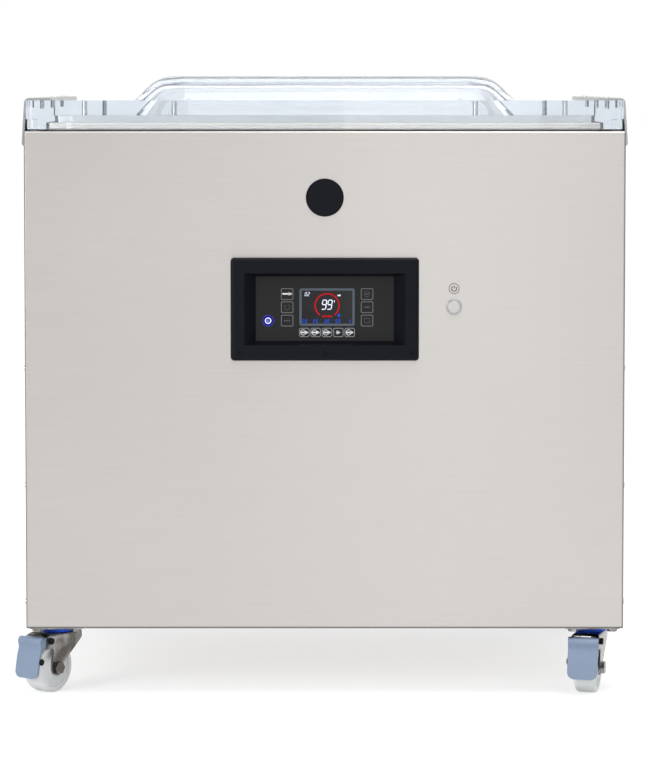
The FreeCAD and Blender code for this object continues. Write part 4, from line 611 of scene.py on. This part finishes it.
def plate(outline, x, z, y=foil_front):
    """A flat shape of ink: its outline, a wall and a front."""
    outline = np.asarray(outline, float)
    points = np.concatenate([on_panel(outline, x, z, y), on_panel(outline, x, z, y - INK)])
    return points, tube_faces(2, len(outline))


# %% Inks and lights


def ink(name, colour, pale, glow):
    """Printed or lit ink, a little uneven, with its own light behind it."""
    material, tree, shader = new_material(
        name, Emission_Strength=glow, Roughness=0.5, Specular_IOR_Level=0.12
    )
    uneven = use(tree, marks_group, {"Vector": place(tree), "Scale": 420.0})["Mask"]
    tint = blend(tree, uneven, colour, pale)
    join(tree, tint, shader, "Base Color")
    join(tree, tint, shader, "Emission Color")
    return material


grey_ink = ink("grey_ink", (0.17, 0.17, 0.175, 1), (0.22, 0.22, 0.225, 1), 0.0)
box_ink = ink("box_ink", (0.36, 0.36, 0.37, 1), (0.45, 0.45, 0.46, 1), 0.0)
dim_ink = ink("dim_ink", (0.075, 0.075, 0.08, 1), (0.10, 0.10, 0.105, 1), 0.0)
white_ink = ink("white_ink", (0.72, 0.73, 0.75, 1), (0.86, 0.86, 0.88, 1), 0.12)
standby_light = ink("standby_light", (0.002, 0.002, 0.13, 1), (0.003, 0.005, 0.20, 1), 0.7)
standby_rim = ink("standby_rim", (0.06, 0.06, 0.42, 1), (0.10, 0.10, 0.50, 1), 0.4)
standby_ring = ink("standby_ring", (0.70, 0.73, 0.98, 1), (0.82, 0.84, 1.0, 1), 0.35)
screen_red = ink("screen_red", (0.42, 0.003, 0.006, 1), (0.50, 0.005, 0.010, 1), 0.25)
screen_white = ink("screen_white", (0.75, 0.80, 0.95, 1), (0.88, 0.90, 1.0, 1), 0.35)
screen_blue = ink("screen_blue", (0.008, 0.06, 0.55, 1), (0.015, 0.10, 0.70, 1), 0.3)
frame_grey = ink("frame_grey", (0.095, 0.115, 0.145, 1), (0.125, 0.145, 0.175, 1), 0.0)

# %% Key outlines and signs
KEY_COLUMNS = (-59.6, 67.0)
KEY_ROWS = (640.2, 619.4, 598.1)
KEY = rounded_square(18.4, 17.2, 1.6)
KEY_LINE = 1.1
keys = [line(KEY, x, z, KEY_LINE, True) for x in KEY_COLUMNS for z in KEY_ROWS]
make_piece("key_outlines", keys, "cabinet", grey_ink)

signs = [
    line(arc(4.2, 120, 420, 24), KEY_COLUMNS[0], KEY_ROWS[1], 1.0),
    plate(rounded_square(11, 1.8, 0.8), KEY_COLUMNS[0], KEY_ROWS[2]),
    line(arc(4.4, 0, 330, 24), KEY_COLUMNS[1], KEY_ROWS[0], 1.1),
    plate(rounded_square(7, 2.2, 0.9), KEY_COLUMNS[1], KEY_ROWS[0]),
    plate(rounded_square(9, 2.4, 1.0), KEY_COLUMNS[1], KEY_ROWS[1]),
    line(rounded_square(9, 7, 2.0), KEY_COLUMNS[1], KEY_ROWS[2], 1.0, True),
]
make_piece("key_signs", signs, "cabinet", dim_ink)

LIT_Z = KEY_ROWS[0] + 0.4
lit_key = [
    plate(rounded_square(12.5, 2.6, 1.2), KEY_COLUMNS[0] - 1.5, LIT_Z),
    plate([(-2.5, -2.6), (3.5, 0), (-2.5, 2.6)], KEY_COLUMNS[0] + 5.0, LIT_Z),
]
make_piece("lit_key_sign", lit_key, "cabinet", white_ink)

# %% Five boxes under the display
BOX_STEP = 18.0
BOX_MIDDLE = 3.5
BOX_Z = 579.3
BOX = rounded_square(15.2, 13.4, 2.6)
BOX_LINE = 0.8
ARROW_HEAD = [(-2.4, -3.4), (3.4, 0), (-2.4, 3.4)]
STEM_SHIFTS = {-2: 0.0, -1: -1.0, 0: 0.6, 1: 0.0, 2: 0.3}
START_BOX = 1
boxes = []
arrows = []
for step, shift in STEM_SHIFTS.items():
    box_x = BOX_MIDDLE + BOX_STEP * step
    boxes.append(line(BOX, box_x, BOX_Z, BOX_LINE, True))
    start = step == START_BOX
    arrows.append(plate(ARROW_HEAD, box_x + (0 if start else 3.2), BOX_Z))
    stem = rounded_square(4.4 if start else 9.2, 2.4, 1.1)
    arrows.append(plate(stem, box_x - 1.4 + shift, BOX_Z))
    if not start:
        arrows.append(line(arc(4.2, 60, 300, 20), box_x - 1.6, BOX_Z, 0.9))
make_piece("sign_boxes", boxes, "cabinet", box_ink)
make_piece("box_signs", arrows, "cabinet", white_ink)

# %% Standby key, lit blue
STANDBY = (-89.8, 598.0)
STANDBY_RADIUS = 8.6
on_disc = foil_front - INK
disc = plate(arc(STANDBY_RADIUS, 0, 355, 60), *STANDBY)
make_piece("standby_disc", [disc], "cabinet", standby_light)
rim = line(arc(STANDBY_RADIUS, 0, RING_END), *STANDBY, 0.5, True, on_disc)
make_piece("standby_rim", [rim], "cabinet", standby_rim)
standby_marks = [
    line(arc(4.3, 0, RING_END), *STANDBY, 1.6, True, on_disc),
    line(arc(1.5, 120, 420, 24), *STANDBY, 0.4, False, on_disc),
]
make_piece("standby_marks", standby_marks, "cabinet", standby_ring)

# %% [markdown]
# ## The screen
# A grey frame edges the window. Inside it a red ring shows the vacuum reached, with the number in
# the middle as two leaning seven-segment digits, and small blue counters stand along the lower
# edge. A digit is a set of bars, each a long six-sided plate, sheared so that it leans like the
# real screen's figures.

# %% Screen frame and ring
window_low, window_high = (np.array(corner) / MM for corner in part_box("display_window"))
screen_x = (window_low[0] + window_high[0]) / 2
screen_z = (window_low[2] + window_high[2]) / 2
screen_front = window_low[1]
FRAME_WIDTH = 3.6
window_size = window_high - window_low
frame_path = rounded_square(window_size[0] - FRAME_WIDTH, window_size[2] - FRAME_WIDTH, 1.2)
make_piece(
    "screen_frame", [line(frame_path, screen_x, screen_z, FRAME_WIDTH, True, screen_front, 0.4)],
    "cabinet", frame_grey,
)
RING = (3.7, 622.0)
make_piece(
    "screen_ring", [line(arc(18.9, -52, 232, 72), *RING, 2.3, False, screen_front)],
    "cabinet", screen_red,
)

# %% Seven-segment digits
LIT = {"0": "abcdef", "2": "abged", "3": "abgcd", "5": "afgcd", "9": "abcdfg"}
SEGMENTS = {
    "a": (0.0, 1.0, 0), "b": (0.5, 0.5, 1), "c": (0.5, -0.5, 1), "d": (0.0, -1.0, 0),
    "e": (-0.5, -0.5, 1), "f": (-0.5, 0.5, 1), "g": (0.0, 0.0, 0),
}
LEAN = 0.16
SLENDER = 0.40
BAR_GAP = 0.12
LARGE = (16.0, 1.5)
SMALL = (6.4, 0.8)
COUNTER = (6.0, 1.2)
LAST_COUNTER = (5.0, 1.1)


def digit(sign, x, z, height, thick):
    """Seven-segment figure: each lit bar is a six-sided plate, sheared by LEAN times its height."""
    half = height / 2 - thick / 2
    width = SLENDER * height
    parts = []
    for name in LIT[sign]:
        right, high, upright = SEGMENTS[name]
        long = (half if upright else width) / 2 - BAR_GAP * thick
        flat = long - thick / 2
        bar = np.array([
            (-long, 0), (-flat, thick / 2), (flat, thick / 2),
            (long, 0), (flat, -thick / 2), (-flat, -thick / 2),
        ])
        bar = bar[:, ::-1] if upright else bar
        bar = bar + [right * width, high * half]
        bar = bar + bar[:, 1:] * [LEAN, 0]
        parts.append(plate(bar, x, z, screen_front))
    return parts


PILL = rounded_square(5.4, 2.2, 1.0)
TICK = [(-0.2, -1.5), (0.5, -1.5), (0.9, 1.5), (-0.9, 1.5)]
reading = digit("9", RING[0] - 4.6, RING[1] + 1.4, *LARGE)
reading += digit("9", RING[0] + 4.2, RING[1] + 1.4, *LARGE)
reading += digit("0", screen_x - 33.6, screen_z + 20.5, *SMALL)
reading += digit("2", screen_x - 29.2, screen_z + 20.5, *SMALL)
reading += [plate(PILL, screen_x + 19.0, screen_z + 18.6, screen_front)]
reading += [plate(TICK, RING[0] + 11.4, RING[1] + 6.4, screen_front)]
make_piece("screen_reading", reading, "cabinet", screen_white)

COUNTER_STEP = 17.6
COUNTER_HALF = 2.3
counter_z = screen_z - 22.2
DROP = rounded_square(3.4, 5.2, 1.4)
counters = []
for step, figures in {-2: "20", -1: "25", 0: "30", 1: "50"}.items():
    x = screen_x + COUNTER_STEP * step - 0.6
    counters += digit(figures[0], x - COUNTER_HALF, counter_z, *COUNTER)
    counters += digit(figures[1], x + COUNTER_HALF, counter_z, *COUNTER)
counters += digit("5", screen_x + 36.6, counter_z, *LAST_COUNTER)
counters += [plate(DROP, screen_x + 18.8, screen_z - 13.2, screen_front)]
make_piece("screen_counters", counters, "cabinet", screen_blue)

BLOCK = rounded_square(3.4, 3.0, 0.5)
BLOCK_STEP = 4.2
block_z = RING[1] - 17.0
bars = [plate(BLOCK, RING[0] + BLOCK_STEP * k, block_z, screen_front) for k in (-1.5, -0.5, 0.5, 1.5)]
make_piece("screen_bars", bars, "cabinet", screen_red)

# %% [markdown]
# ## Screws with a driver recess
# A plain disc is no screw. Each head here is one turned surface that runs up the shank, under the
# head, over its rounded edge and down into a recess, and the recess is a circle whose radius swells
# four times round, which reads as a cross. They stand for the plain screws of the frame, at the
# same places.

# %% Screws of the bezel, panels and arms
TURNS = np.linspace(0, 2 * np.pi, 48, endpoint=False)
BEZEL_SCREW = {"head": 3.6, "rise": 1.2, "shank": 2.0, "length": 16.0}
PANEL_SCREW = {"head": 5.0, "rise": 2.4, "shank": 2.5, "length": 9.0}
ARM_SCREW = {"head": 5.5, "rise": 1.6, "shank": 3.0, "length": 17.5}
SIDES = (-1, 1)


def screw(centre, axis, head, rise, shank, length):
    """Turned surface (radius, along): shank, head and a four-lobed recess 1 + 0.4 cos(4 angle)."""
    lobes = 0.40 * head * (1 + 0.4 * np.cos(4 * TURNS))
    rows = [
        (0.0, -length), (shank, -length), (shank, 0.0), (head, 0.0), (head, 0.3 * rise),
        (0.93 * head, 0.72 * rise), (0.78 * head, 0.95 * rise), (0.66 * head, rise),
        (lobes, rise), (0.85 * lobes, 0.35 * rise), (0.0, 0.25 * rise),
    ]
    radius = np.array([np.broadcast_to(r, TURNS.shape) for r, _ in rows])
    return turned(radius, [a for _, a in rows], centre, axis, len(TURNS))


bezel_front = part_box("control_bezel")[0].y / MM
BEZEL_ROW = 548.0
BEZEL_COLUMNS = (-136.5, 0.0, 136.5)
bezel_screws = [screw((x, bezel_front, BEZEL_ROW), FRONT, **BEZEL_SCREW) for x in BEZEL_COLUMNS]
make_piece(
    "bezel_screw_heads", bezel_screws, "cabinet", black_plastic, "bezel_screws"
)

SIDE_ROWS = (149.0, 335.75, 522.5)
REAR_ROWS = (168.0, 502.0, 836.0)
SIDE_SPOT = (475.0, -346.0)
REAR_SPOT = (459.0, 362.0)
panel_screws = [
    screw((side * SIDE_SPOT[0], SIDE_SPOT[1], z), (side, 0, 0), **PANEL_SCREW)
    for side in SIDES for z in SIDE_ROWS
]
panel_screws += [
    screw((side * REAR_SPOT[0], REAR_SPOT[1], z), -FRONT, **PANEL_SCREW)
    for side in SIDES for z in REAR_ROWS
]
make_piece(
    "panel_screw_heads", panel_screws, "cabinet", bright_steel, "panel_screws"
)

ARM_ROWS = (-216.0, 15.0, 246.0)
ARM_COLUMN = 456.5
ARM_TOP = 950.0
arm_screws = [
    screw((side * ARM_COLUMN, y, ARM_TOP), UP, **ARM_SCREW) for side in SIDES for y in ARM_ROWS
]
make_piece("arm_screw_heads", arm_screws, "lid", bright_steel, "arm_screws")

# %% [markdown]
# ## Badge and power sign
# A round dark badge with a narrow raised rim sits on the panel. Above the push button a power sign
# is etched into the steel: a ring, and inside it a broken circle with a stroke. The badge is a
# turned profile, and the sign is three thin strips.

# %% Badge
badge_low, badge_high = (np.array(corner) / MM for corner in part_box("badge_disc"))
badge_middle = (badge_low + badge_high) / 2
badge_radius = (badge_high[0] - badge_low[0]) / 2
badge_rise = badge_high[1] - badge_low[1]
badge_rows = [
    (0.0, 0.0), (badge_radius, 0.0), (badge_radius, 0.55 * badge_rise),
    (badge_radius - 0.6, badge_rise), (badge_radius - 1.6, badge_rise),
    (badge_radius - 2.2, 0.6 * badge_rise), (0.0, 0.75 * badge_rise),
]
badge_centre = (badge_middle[0], badge_high[1], badge_middle[2])
badge = turned([r for r, _ in badge_rows], [a for _, a in badge_rows], badge_centre, FRONT, 96)
make_piece("badge_face", [badge], "cabinet", bezel_plastic, "badge_disc", 30)

# %% Power sign
panel_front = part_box("front_panel")[0].y / MM
SIGN = (204.5, 649.5)
ETCHED = 0.05
etched = ink("etched_sign", (0.16, 0.16, 0.155, 1), (0.22, 0.22, 0.215, 1), 0.0)
power_sign = [
    line(arc(8.0, 0, RING_END), *SIGN, 1.3, True, panel_front, ETCHED),
    line(arc(3.9, 125, 415, 32), *SIGN, 2.0, False, panel_front, ETCHED),
    line(np.array([[0.0, 0.6], [0.0, 3.0], [0.0, 5.0]]), *SIGN, 1.6, False, panel_front, ETCHED),
]
make_piece("power_sign", power_sign, "cabinet", etched)

# %% [markdown]
# ## Louvre hoods
# The pump needs air, so the rear cover has rows of slots. On the real sheet a press leaves a hood
# over each slot that keeps splashes out. A hood is one swept patch: it leaves the sheet above the
# slot, swells out over it and dies away at both ends.

# %% Hoods over the rear slots
COVER_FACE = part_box("rear_panel")[1].y / MM
SLOT_LOW = 358.0
SLOT_PITCH = 22.0
SLOT_COLUMN = 250.0
HOOD_HALF = 95.0
HOOD_RISE = 6.5
HOOD_TOP = 11.0
HOOD_DROP = 10.0
HOOD_SHEET = 1.0
SLOT_ROWS = 10


def hood(x, z):
    """Patch over u along and v down.

    The point is (x + half u, face + rise sin(pi v / 2) (1 - u^8), z + top - drop v).
    """
    v, u = np.meshgrid(np.linspace(0, 1, 9), np.linspace(-1, 1, 33), indexing="ij")
    swell = HOOD_RISE * np.sin(np.pi * v / 2) * (1 - u**8)
    front = np.stack([x + HOOD_HALF * u, COVER_FACE + swell, z + HOOD_TOP - HOOD_DROP * v], -1)
    return slab(front, front - [0, HOOD_SHEET, 0])


hoods = [
    hood(side * SLOT_COLUMN, SLOT_LOW + SLOT_PITCH * row) for side in SIDES for row in range(SLOT_ROWS)
]
make_piece("rear_louvre_hoods", hoods, "cabinet", panel_steel)

# %% [markdown]
# ## The lid's seal
# A rubber cord sits in a groove round the lid and closes on the deck. Its section is a barbed stem
# in the groove with a round lip below, carried round a rounded rectangle that follows the chamber's
# edge. The stem is cream, and the lip that meets the deck is painted dark, a painted shade for the
# shadow it sits in, mixed by a mask along the height.

# %% Rubber of the seal
LIP_SHADE_HEIGHTS = (0.8985, 0.9035)
gasket_rubber, tree, shader = new_material("gasket_rubber", Specular_IOR_Level=0.3)
skin = use(tree, skin_group, {"Vector": place(tree), "Scale": 700.0})
height = add(tree, "SeparateXYZ", {"Vector": place(tree)}).outputs["Z"]
lip_shade_mask = ramp(tree, height, *LIP_SHADE_HEIGHTS)
cream = blend(tree, skin["Speckle"], (0.86, 0.82, 0.72, 1), (0.94, 0.91, 0.84, 1))
# Below the mask's heights the lip is painted near black: a painted shade, not a darker rubber.
join(tree, blend(tree, lip_shade_mask, (0.05, 0.052, 0.06, 1), cream), shader, "Base Color")
join(tree, spread(tree, skin["Speckle"], 0.42, 0.58), shader, "Roughness")
bump(tree, skin["Height"], shader, 0.15, SKIN_DEPTH)

# %% Gasket
gasket_low, gasket_high = (np.array(corner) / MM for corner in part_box("lid_gasket"))
GASKET_WIDTH = 10.4
GASKET_CORNER = 48.5
LIP_DROP = 6.2
BARB_LOW, BARB_WAIST, BARB_HIGH = 904.5, 905.2, 907.0
gasket_size = gasket_high - gasket_low - GASKET_WIDTH
gasket_middle = (gasket_low + gasket_high) / 2
ring_path = rounded_square(gasket_size[0], gasket_size[1], GASKET_CORNER, 14)
ring_path = np.column_stack([ring_path + gasket_middle[:2], np.zeros(len(ring_path))])
lip_turn = np.linspace(np.pi, 2 * np.pi, 17)
stem_side = GASKET_WIDTH / 2
lip_z = gasket_low[2] + LIP_DROP + LIP_DROP * np.sin(lip_turn)
lip = np.stack([stem_side * np.cos(lip_turn), lip_z], 1)
stem = np.array([
    (stem_side, BARB_LOW), (stem_side - 1.0, BARB_WAIST),
    (stem_side, BARB_HIGH), (stem_side - 0.8, gasket_high[2]),
])
profile = np.concatenate([lip, stem, stem[::-1] * [-1, 1]])
gasket = carried(profile, ring_path, UP)
make_piece("lid_seal", [gasket], "lid", gasket_rubber, "lid_gasket", 50)

# %% [markdown]
# ## Sealing tape
# Each seal bar carries a brown glass-fibre tape over its heating wire. It is a low arch carried
# along the bar, a tenth of a millimetre over the metal edge, and it lifts with the bar.

# %% Tapes
TAPE_HALF = 7.0
TAPE_DROP = 1.1
TAPE_RISE = 1.2
TAPE_THICK = 0.25
TAPE_END = 2.0
for row in ("front", "rear"):
    bar_low, bar_high = (np.array(corner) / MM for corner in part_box(f"{row}_seal_bar"))
    bar_y = (bar_low[1] + bar_high[1]) / 2
    tape_turn = np.linspace(0, np.pi, 9)
    arch = TAPE_RISE * np.sin(tape_turn) ** 0.4 - TAPE_DROP
    over = np.stack([TAPE_HALF * np.cos(tape_turn), arch], 1)
    under = over[::-1] - [0, TAPE_THICK]
    run_x = (bar_low[0] + TAPE_END, 0.0, bar_high[0] - TAPE_END)
    run = np.array([[x, bar_y, bar_high[2]] for x in run_x])
    tape = carried(np.concatenate([over, under]), run, UP, False)
    make_piece(f"{row}_seal_tape", [tape], f"{row}_seal_bar", seal_tape)

# %% [markdown]
# ## Brake pedals, shoes and springs
# A foot presses the pedal at the front of each front castor. It is a bent plate with round corners
# and a hollow under its ridge, moulded with two ears that turn on a pin. Behind it a black rubber
# shoe is ready to press on the tread, and a black spring sits on the pin. The plate is a curve
# carried across the castor, with its width drawn in at the corners. All are placed at the castor's
# swivel axis.

# %% Directions of the front castors
CASTORS = {"front_left": (-428.0, -298.0, -39.0), "front_right": (428.0, -298.0, -14.5)}
TRAIL = 26.0
WHEEL = 40.0
PIVOT = (44.0, 85.0)


def at_castor(points, spot):
    """Points (across, forward, up) turned to the castor's heading and moved to its swivel axis."""
    x, y, heading = spot
    angle = np.radians(heading)
    across, forward, up = points[:, 0], points[:, 1], points[:, 2]
    return np.stack([
        x + across * np.cos(angle) + forward * np.sin(angle),
        y + across * np.sin(angle) - forward * np.cos(angle),
        up,
    ], 1)


def prism(outline, low, high):
    """A flat outline (forward, up) made solid from low to high across the castor."""
    count = len(outline)
    across = np.repeat([low, high], count)
    points = np.column_stack([across, np.tile(outline, (2, 1))])
    return points, tube_faces(2, count)


# %% Pedals
PEDAL_CURVE = np.array([
    (58.0, 90.6), (62.5, 92.0), (67.0, 90.4), (69.4, 86.4), (69.2, 82.5), (66.9, 78.6), (66.9, 74.5),
    (68.6, 69.5), (71.0, 62.0), (73.6, 48.0), (76.0, 34.0), (77.0, 27.5),
])
HALF_WIDTH = 24.5
PEDAL_THICK = 4.5
PEDAL_ROWS = 44
PEDAL_COLUMNS = 15
TOP_CORNER = 6.0
LOW_CORNER = 11.0
BACK_SHARE = 0.97
EAR = (17.0, 22.5)
ROOF_HALF = 16.5


def drawn_in(gap, radius):
    """How far a round corner draws the edge in at this gap from its end."""
    near = np.clip(radius - gap, 0, radius)
    return radius - np.sqrt(radius**2 - near**2)


def pedal():
    """Grid over (way along the curve, across): curve + across, and the same moved in by its normal."""
    steps = np.concatenate([[0], np.cumsum(np.linalg.norm(np.diff(PEDAL_CURVE, axis=0), axis=1))])
    way = steps[-1] * (1 - np.cos(np.linspace(0, np.pi, PEDAL_ROWS))) / 2
    curve = np.stack([np.interp(way, steps, PEDAL_CURVE[:, k]) for k in (0, 1)], 1)
    for _ in range(3):
        curve[1:-1] = (curve[:-2] + 2 * curve[1:-1] + curve[2:]) / 4
    ahead = unit(np.gradient(curve, axis=0))
    inward = np.stack([ahead[:, 1], -ahead[:, 0]], 1)
    inner = curve + PEDAL_THICK * inward
    width = HALF_WIDTH - drawn_in(way, TOP_CORNER) - drawn_in(way[-1] - way, LOW_CORNER)
    across = (width[:, None] * np.linspace(-1, 1, PEDAL_COLUMNS))[..., None]
    front = np.concatenate([across, np.repeat(curve[:, None], PEDAL_COLUMNS, 1)], -1)
    back = np.concatenate([BACK_SHARE * across, np.repeat(inner[:, None], PEDAL_COLUMNS, 1)], -1)
    return slab(front, back)


def ears():
    """Two ears, each a round eye at the pin that widens towards the plate, and the roof between them."""
    eye = arc(6.5, 80, 280, 20) + PIVOT
    outline = np.concatenate([eye, [(66.0, 70.0), (66.0, 84.0), (61.0, 89.0)]])
    roof = np.array([(45.0, 87.0), (45.0, 90.5), (50.0, 91.5), (62.0, 91.5), (62.0, 87.0)])
    near, far = EAR
    return [
        prism(outline, near, far), prism(outline, -far, -near), prism(roof, -ROOF_HALF, ROOF_HALF)
    ]


for name, spot in CASTORS.items():
    shapes = [(at_castor(points, spot), faces) for points, faces in [pedal(), *ears()]]
    make_piece(
        f"{name}_pedal_plate", shapes, f"{name}_brake", pedal_plastic,
        f"{name}_brake_pedal", 40,
    )


# %% Shoes and springs
SHOE_INNER = WHEEL + 1.0
SHOE_OUTER = WHEEL + 3.2
SHOE_LEAN = 3.0
SHOE_HALF = 19.0
COIL = 8.2
WIRE = 1.2
COIL_TURNS = 3
COIL_STEP = 3.0
COIL_START = 10.0
PIN_END = 22.7
STOP = (21.0, 66.0, 54.0)


def shoe():
    """Grid over (across, angle): the inner face lies 1 mm off the tread, the outer face leans."""
    turn = np.radians(np.linspace(4, 34, 12))
    inner = np.stack([TRAIL + SHOE_INNER * np.cos(turn), WHEEL + SHOE_INNER * np.sin(turn)], 1)
    outer = np.stack([TRAIL + SHOE_OUTER - SHOE_LEAN * np.sin(turn), inner[:, 1]], 1)[::-1]
    outline = np.concatenate([inner, outer])
    across = np.array([-SHOE_HALF, 0.0, SHOE_HALF])
    points = np.column_stack([np.repeat(across, len(outline)), np.tile(outline, (len(across), 1))])
    return points, tube_faces(len(across), len(outline))


def spring():
    """A coil of wire: its centre line is COIL * (cos, sin), moved along by COIL_STEP in each turn."""
    turn = np.linspace(0, 2 * np.pi * COIL_TURNS, 72)
    ring = np.linspace(0, 2 * np.pi, 8, endpoint=False)
    wide = COIL + WIRE * np.cos(ring)[None]
    across = COIL_START + turn[:, None] * COIL_STEP / (2 * np.pi) + WIRE * np.sin(ring)[None]
    forward = PIVOT[0] + wide * np.cos(turn)[:, None]
    high = PIVOT[1] + wide * np.sin(turn)[:, None]
    points = np.stack([across, forward, high], -1).reshape(-1, 3)
    return points, tube_faces(len(turn), len(ring))


def bushes():
    """Turned black bushes at the ends of the pin, and stops behind the plate: radius against across."""
    radius = [0.0, 4.2, 5.2, 5.2, 4.4, 0.0]
    across = [0.0, 0.0, 0.8, 4.6, 5.4, 5.4]
    spots = [(PIN_END, *PIVOT), STOP]
    return [
        turned(radius, across, (side * x, y, z), (side, 0, 0), 24)
        for x, y, z in spots for side in (1, -1)
    ]


BRAKE_PIECES = {
    "shoe": ("brake", [shoe()]),
    "bushes": ("brake", bushes()),
    "spring": ("castor", [spring()]),
}
for name, spot in CASTORS.items():
    for label, (carrier, shapes) in BRAKE_PIECES.items():
        placed = [(at_castor(points, spot), faces) for points, faces in shapes]
        make_piece(f"{name}_brake_{label}", placed, f"{name}_{carrier}", rubber)

# %% [markdown]
# ## Floor, light and camera
# The picture is a cut-out on white. A pale floor keeps the shadow, and the world is white where the
# camera, a reflection or a clear piece looks at it, and softer where it lights the object. Large
# lamps stand like softboxes in front of it and above. The camera looks almost level from far off,
# and its lens is long, so upright lines stay upright.

# %% Floor
FLOOR = 60.0
FLOOR_GLOW = 0.58
floor_corners = np.array([[-1, -1, 0], [1, -1, 0], [1, 1, 0], [-1, 1, 0]]) * FLOOR
floor_mesh = bpy.data.meshes.new("floor")
floor_mesh.from_pydata(floor_corners.tolist(), [], [[0, 1, 2, 3]])
floor = bpy.data.objects.new("floor", floor_mesh)
scene.collection.objects.link(floor)


def seen_directly(tree):
    """1 for rays from the camera, a reflection or a clear piece, and 0 for light on the object."""
    path = add(tree, "LightPath").outputs
    seen = maths(tree, "MAXIMUM", path["Is Camera Ray"], path["Is Glossy Ray"])
    return maths(tree, "MAXIMUM", seen, path["Is Transmission Ray"])


pale_floor = bpy.data.materials.new("pale_floor")
pale_floor.use_nodes = True
tree = pale_floor.node_tree
tree.nodes.clear()
lit = add(tree, "BsdfDiffuse", {"Color": (0.60, 0.60, 0.60, 1)})
glow = maths(tree, "MULTIPLY", seen_directly(tree), FLOOR_GLOW)
lift = add(tree, "Emission", {"Color": (1, 1, 1, 1), "Strength": glow})
total = add(tree, "AddShader", {0: lit.outputs[0], 1: lift.outputs[0]})
add(tree, "OutputMaterial", {"Surface": total.outputs[0]})
floor_mesh.materials.append(pale_floor)

# %% World
world = bpy.data.worlds.new("studio")
world.use_nodes = True
tree = world.node_tree
tree.nodes.clear()
soft = add(tree, "Background", {"Color": (0.96, 0.98, 1.0, 1), "Strength": 0.75})
white = add(tree, "Background", {"Color": (1, 1, 1, 1), "Strength": 1.0})
choice = add(tree, "MixShader", {0: seen_directly(tree), 1: soft.outputs[0], 2: white.outputs[0]})
add(tree, "OutputWorld", {"Surface": choice.outputs[0]})
scene.world = world
scene.view_settings.view_transform = "Standard"


# %% Lamps
def softbox(name, spot, aim, size, watts):
    """An area lamp at a spot, facing its aim."""
    lamp = bpy.data.lights.new(name, "AREA")
    lamp.shape = "RECTANGLE"
    lamp.size, lamp.size_y = size
    lamp.energy = watts
    piece = bpy.data.objects.new(name, lamp)
    scene.collection.objects.link(piece)
    back = unit(np.array(spot, float) - np.array(aim, float))
    piece.location = spot
    piece.rotation_euler = (np.arccos(back[2]), 0, np.arctan2(back[0], -back[1]))


softbox("key", (0.42, -7.0, 1.3), aim=(0.1, 0, 0.5), size=(0.7, 2.4), watts=8)
softbox("fill", (-2.8, -3.2, 1.6), aim=(0, 0, 0.4), size=(1.6, 1.6), watts=60)
softbox("top", (0.6, -0.6, 3.4), aim=(0, 0, 0.6), size=(2.4, 2.4), watts=60)

# %% Camera
CAMERA_SPOT = (-0.0036, -5.66, 0.9773)
CAMERA_TILT = 3.63
LENS = 156.2
SHIFT = -0.1202
camera_data = bpy.data.cameras.new("camera")
camera_data.sensor_fit = "AUTO"
camera_data.sensor_width = 36.0
camera_data.lens = LENS
camera_data.shift_y = SHIFT
camera = bpy.data.objects.new("camera", camera_data)
scene.collection.objects.link(camera)
camera.location = CAMERA_SPOT
camera.rotation_euler = (np.radians(90 - CAMERA_TILT), 0, 0)
scene.camera = camera
print("camera at", CAMERA_SPOT)
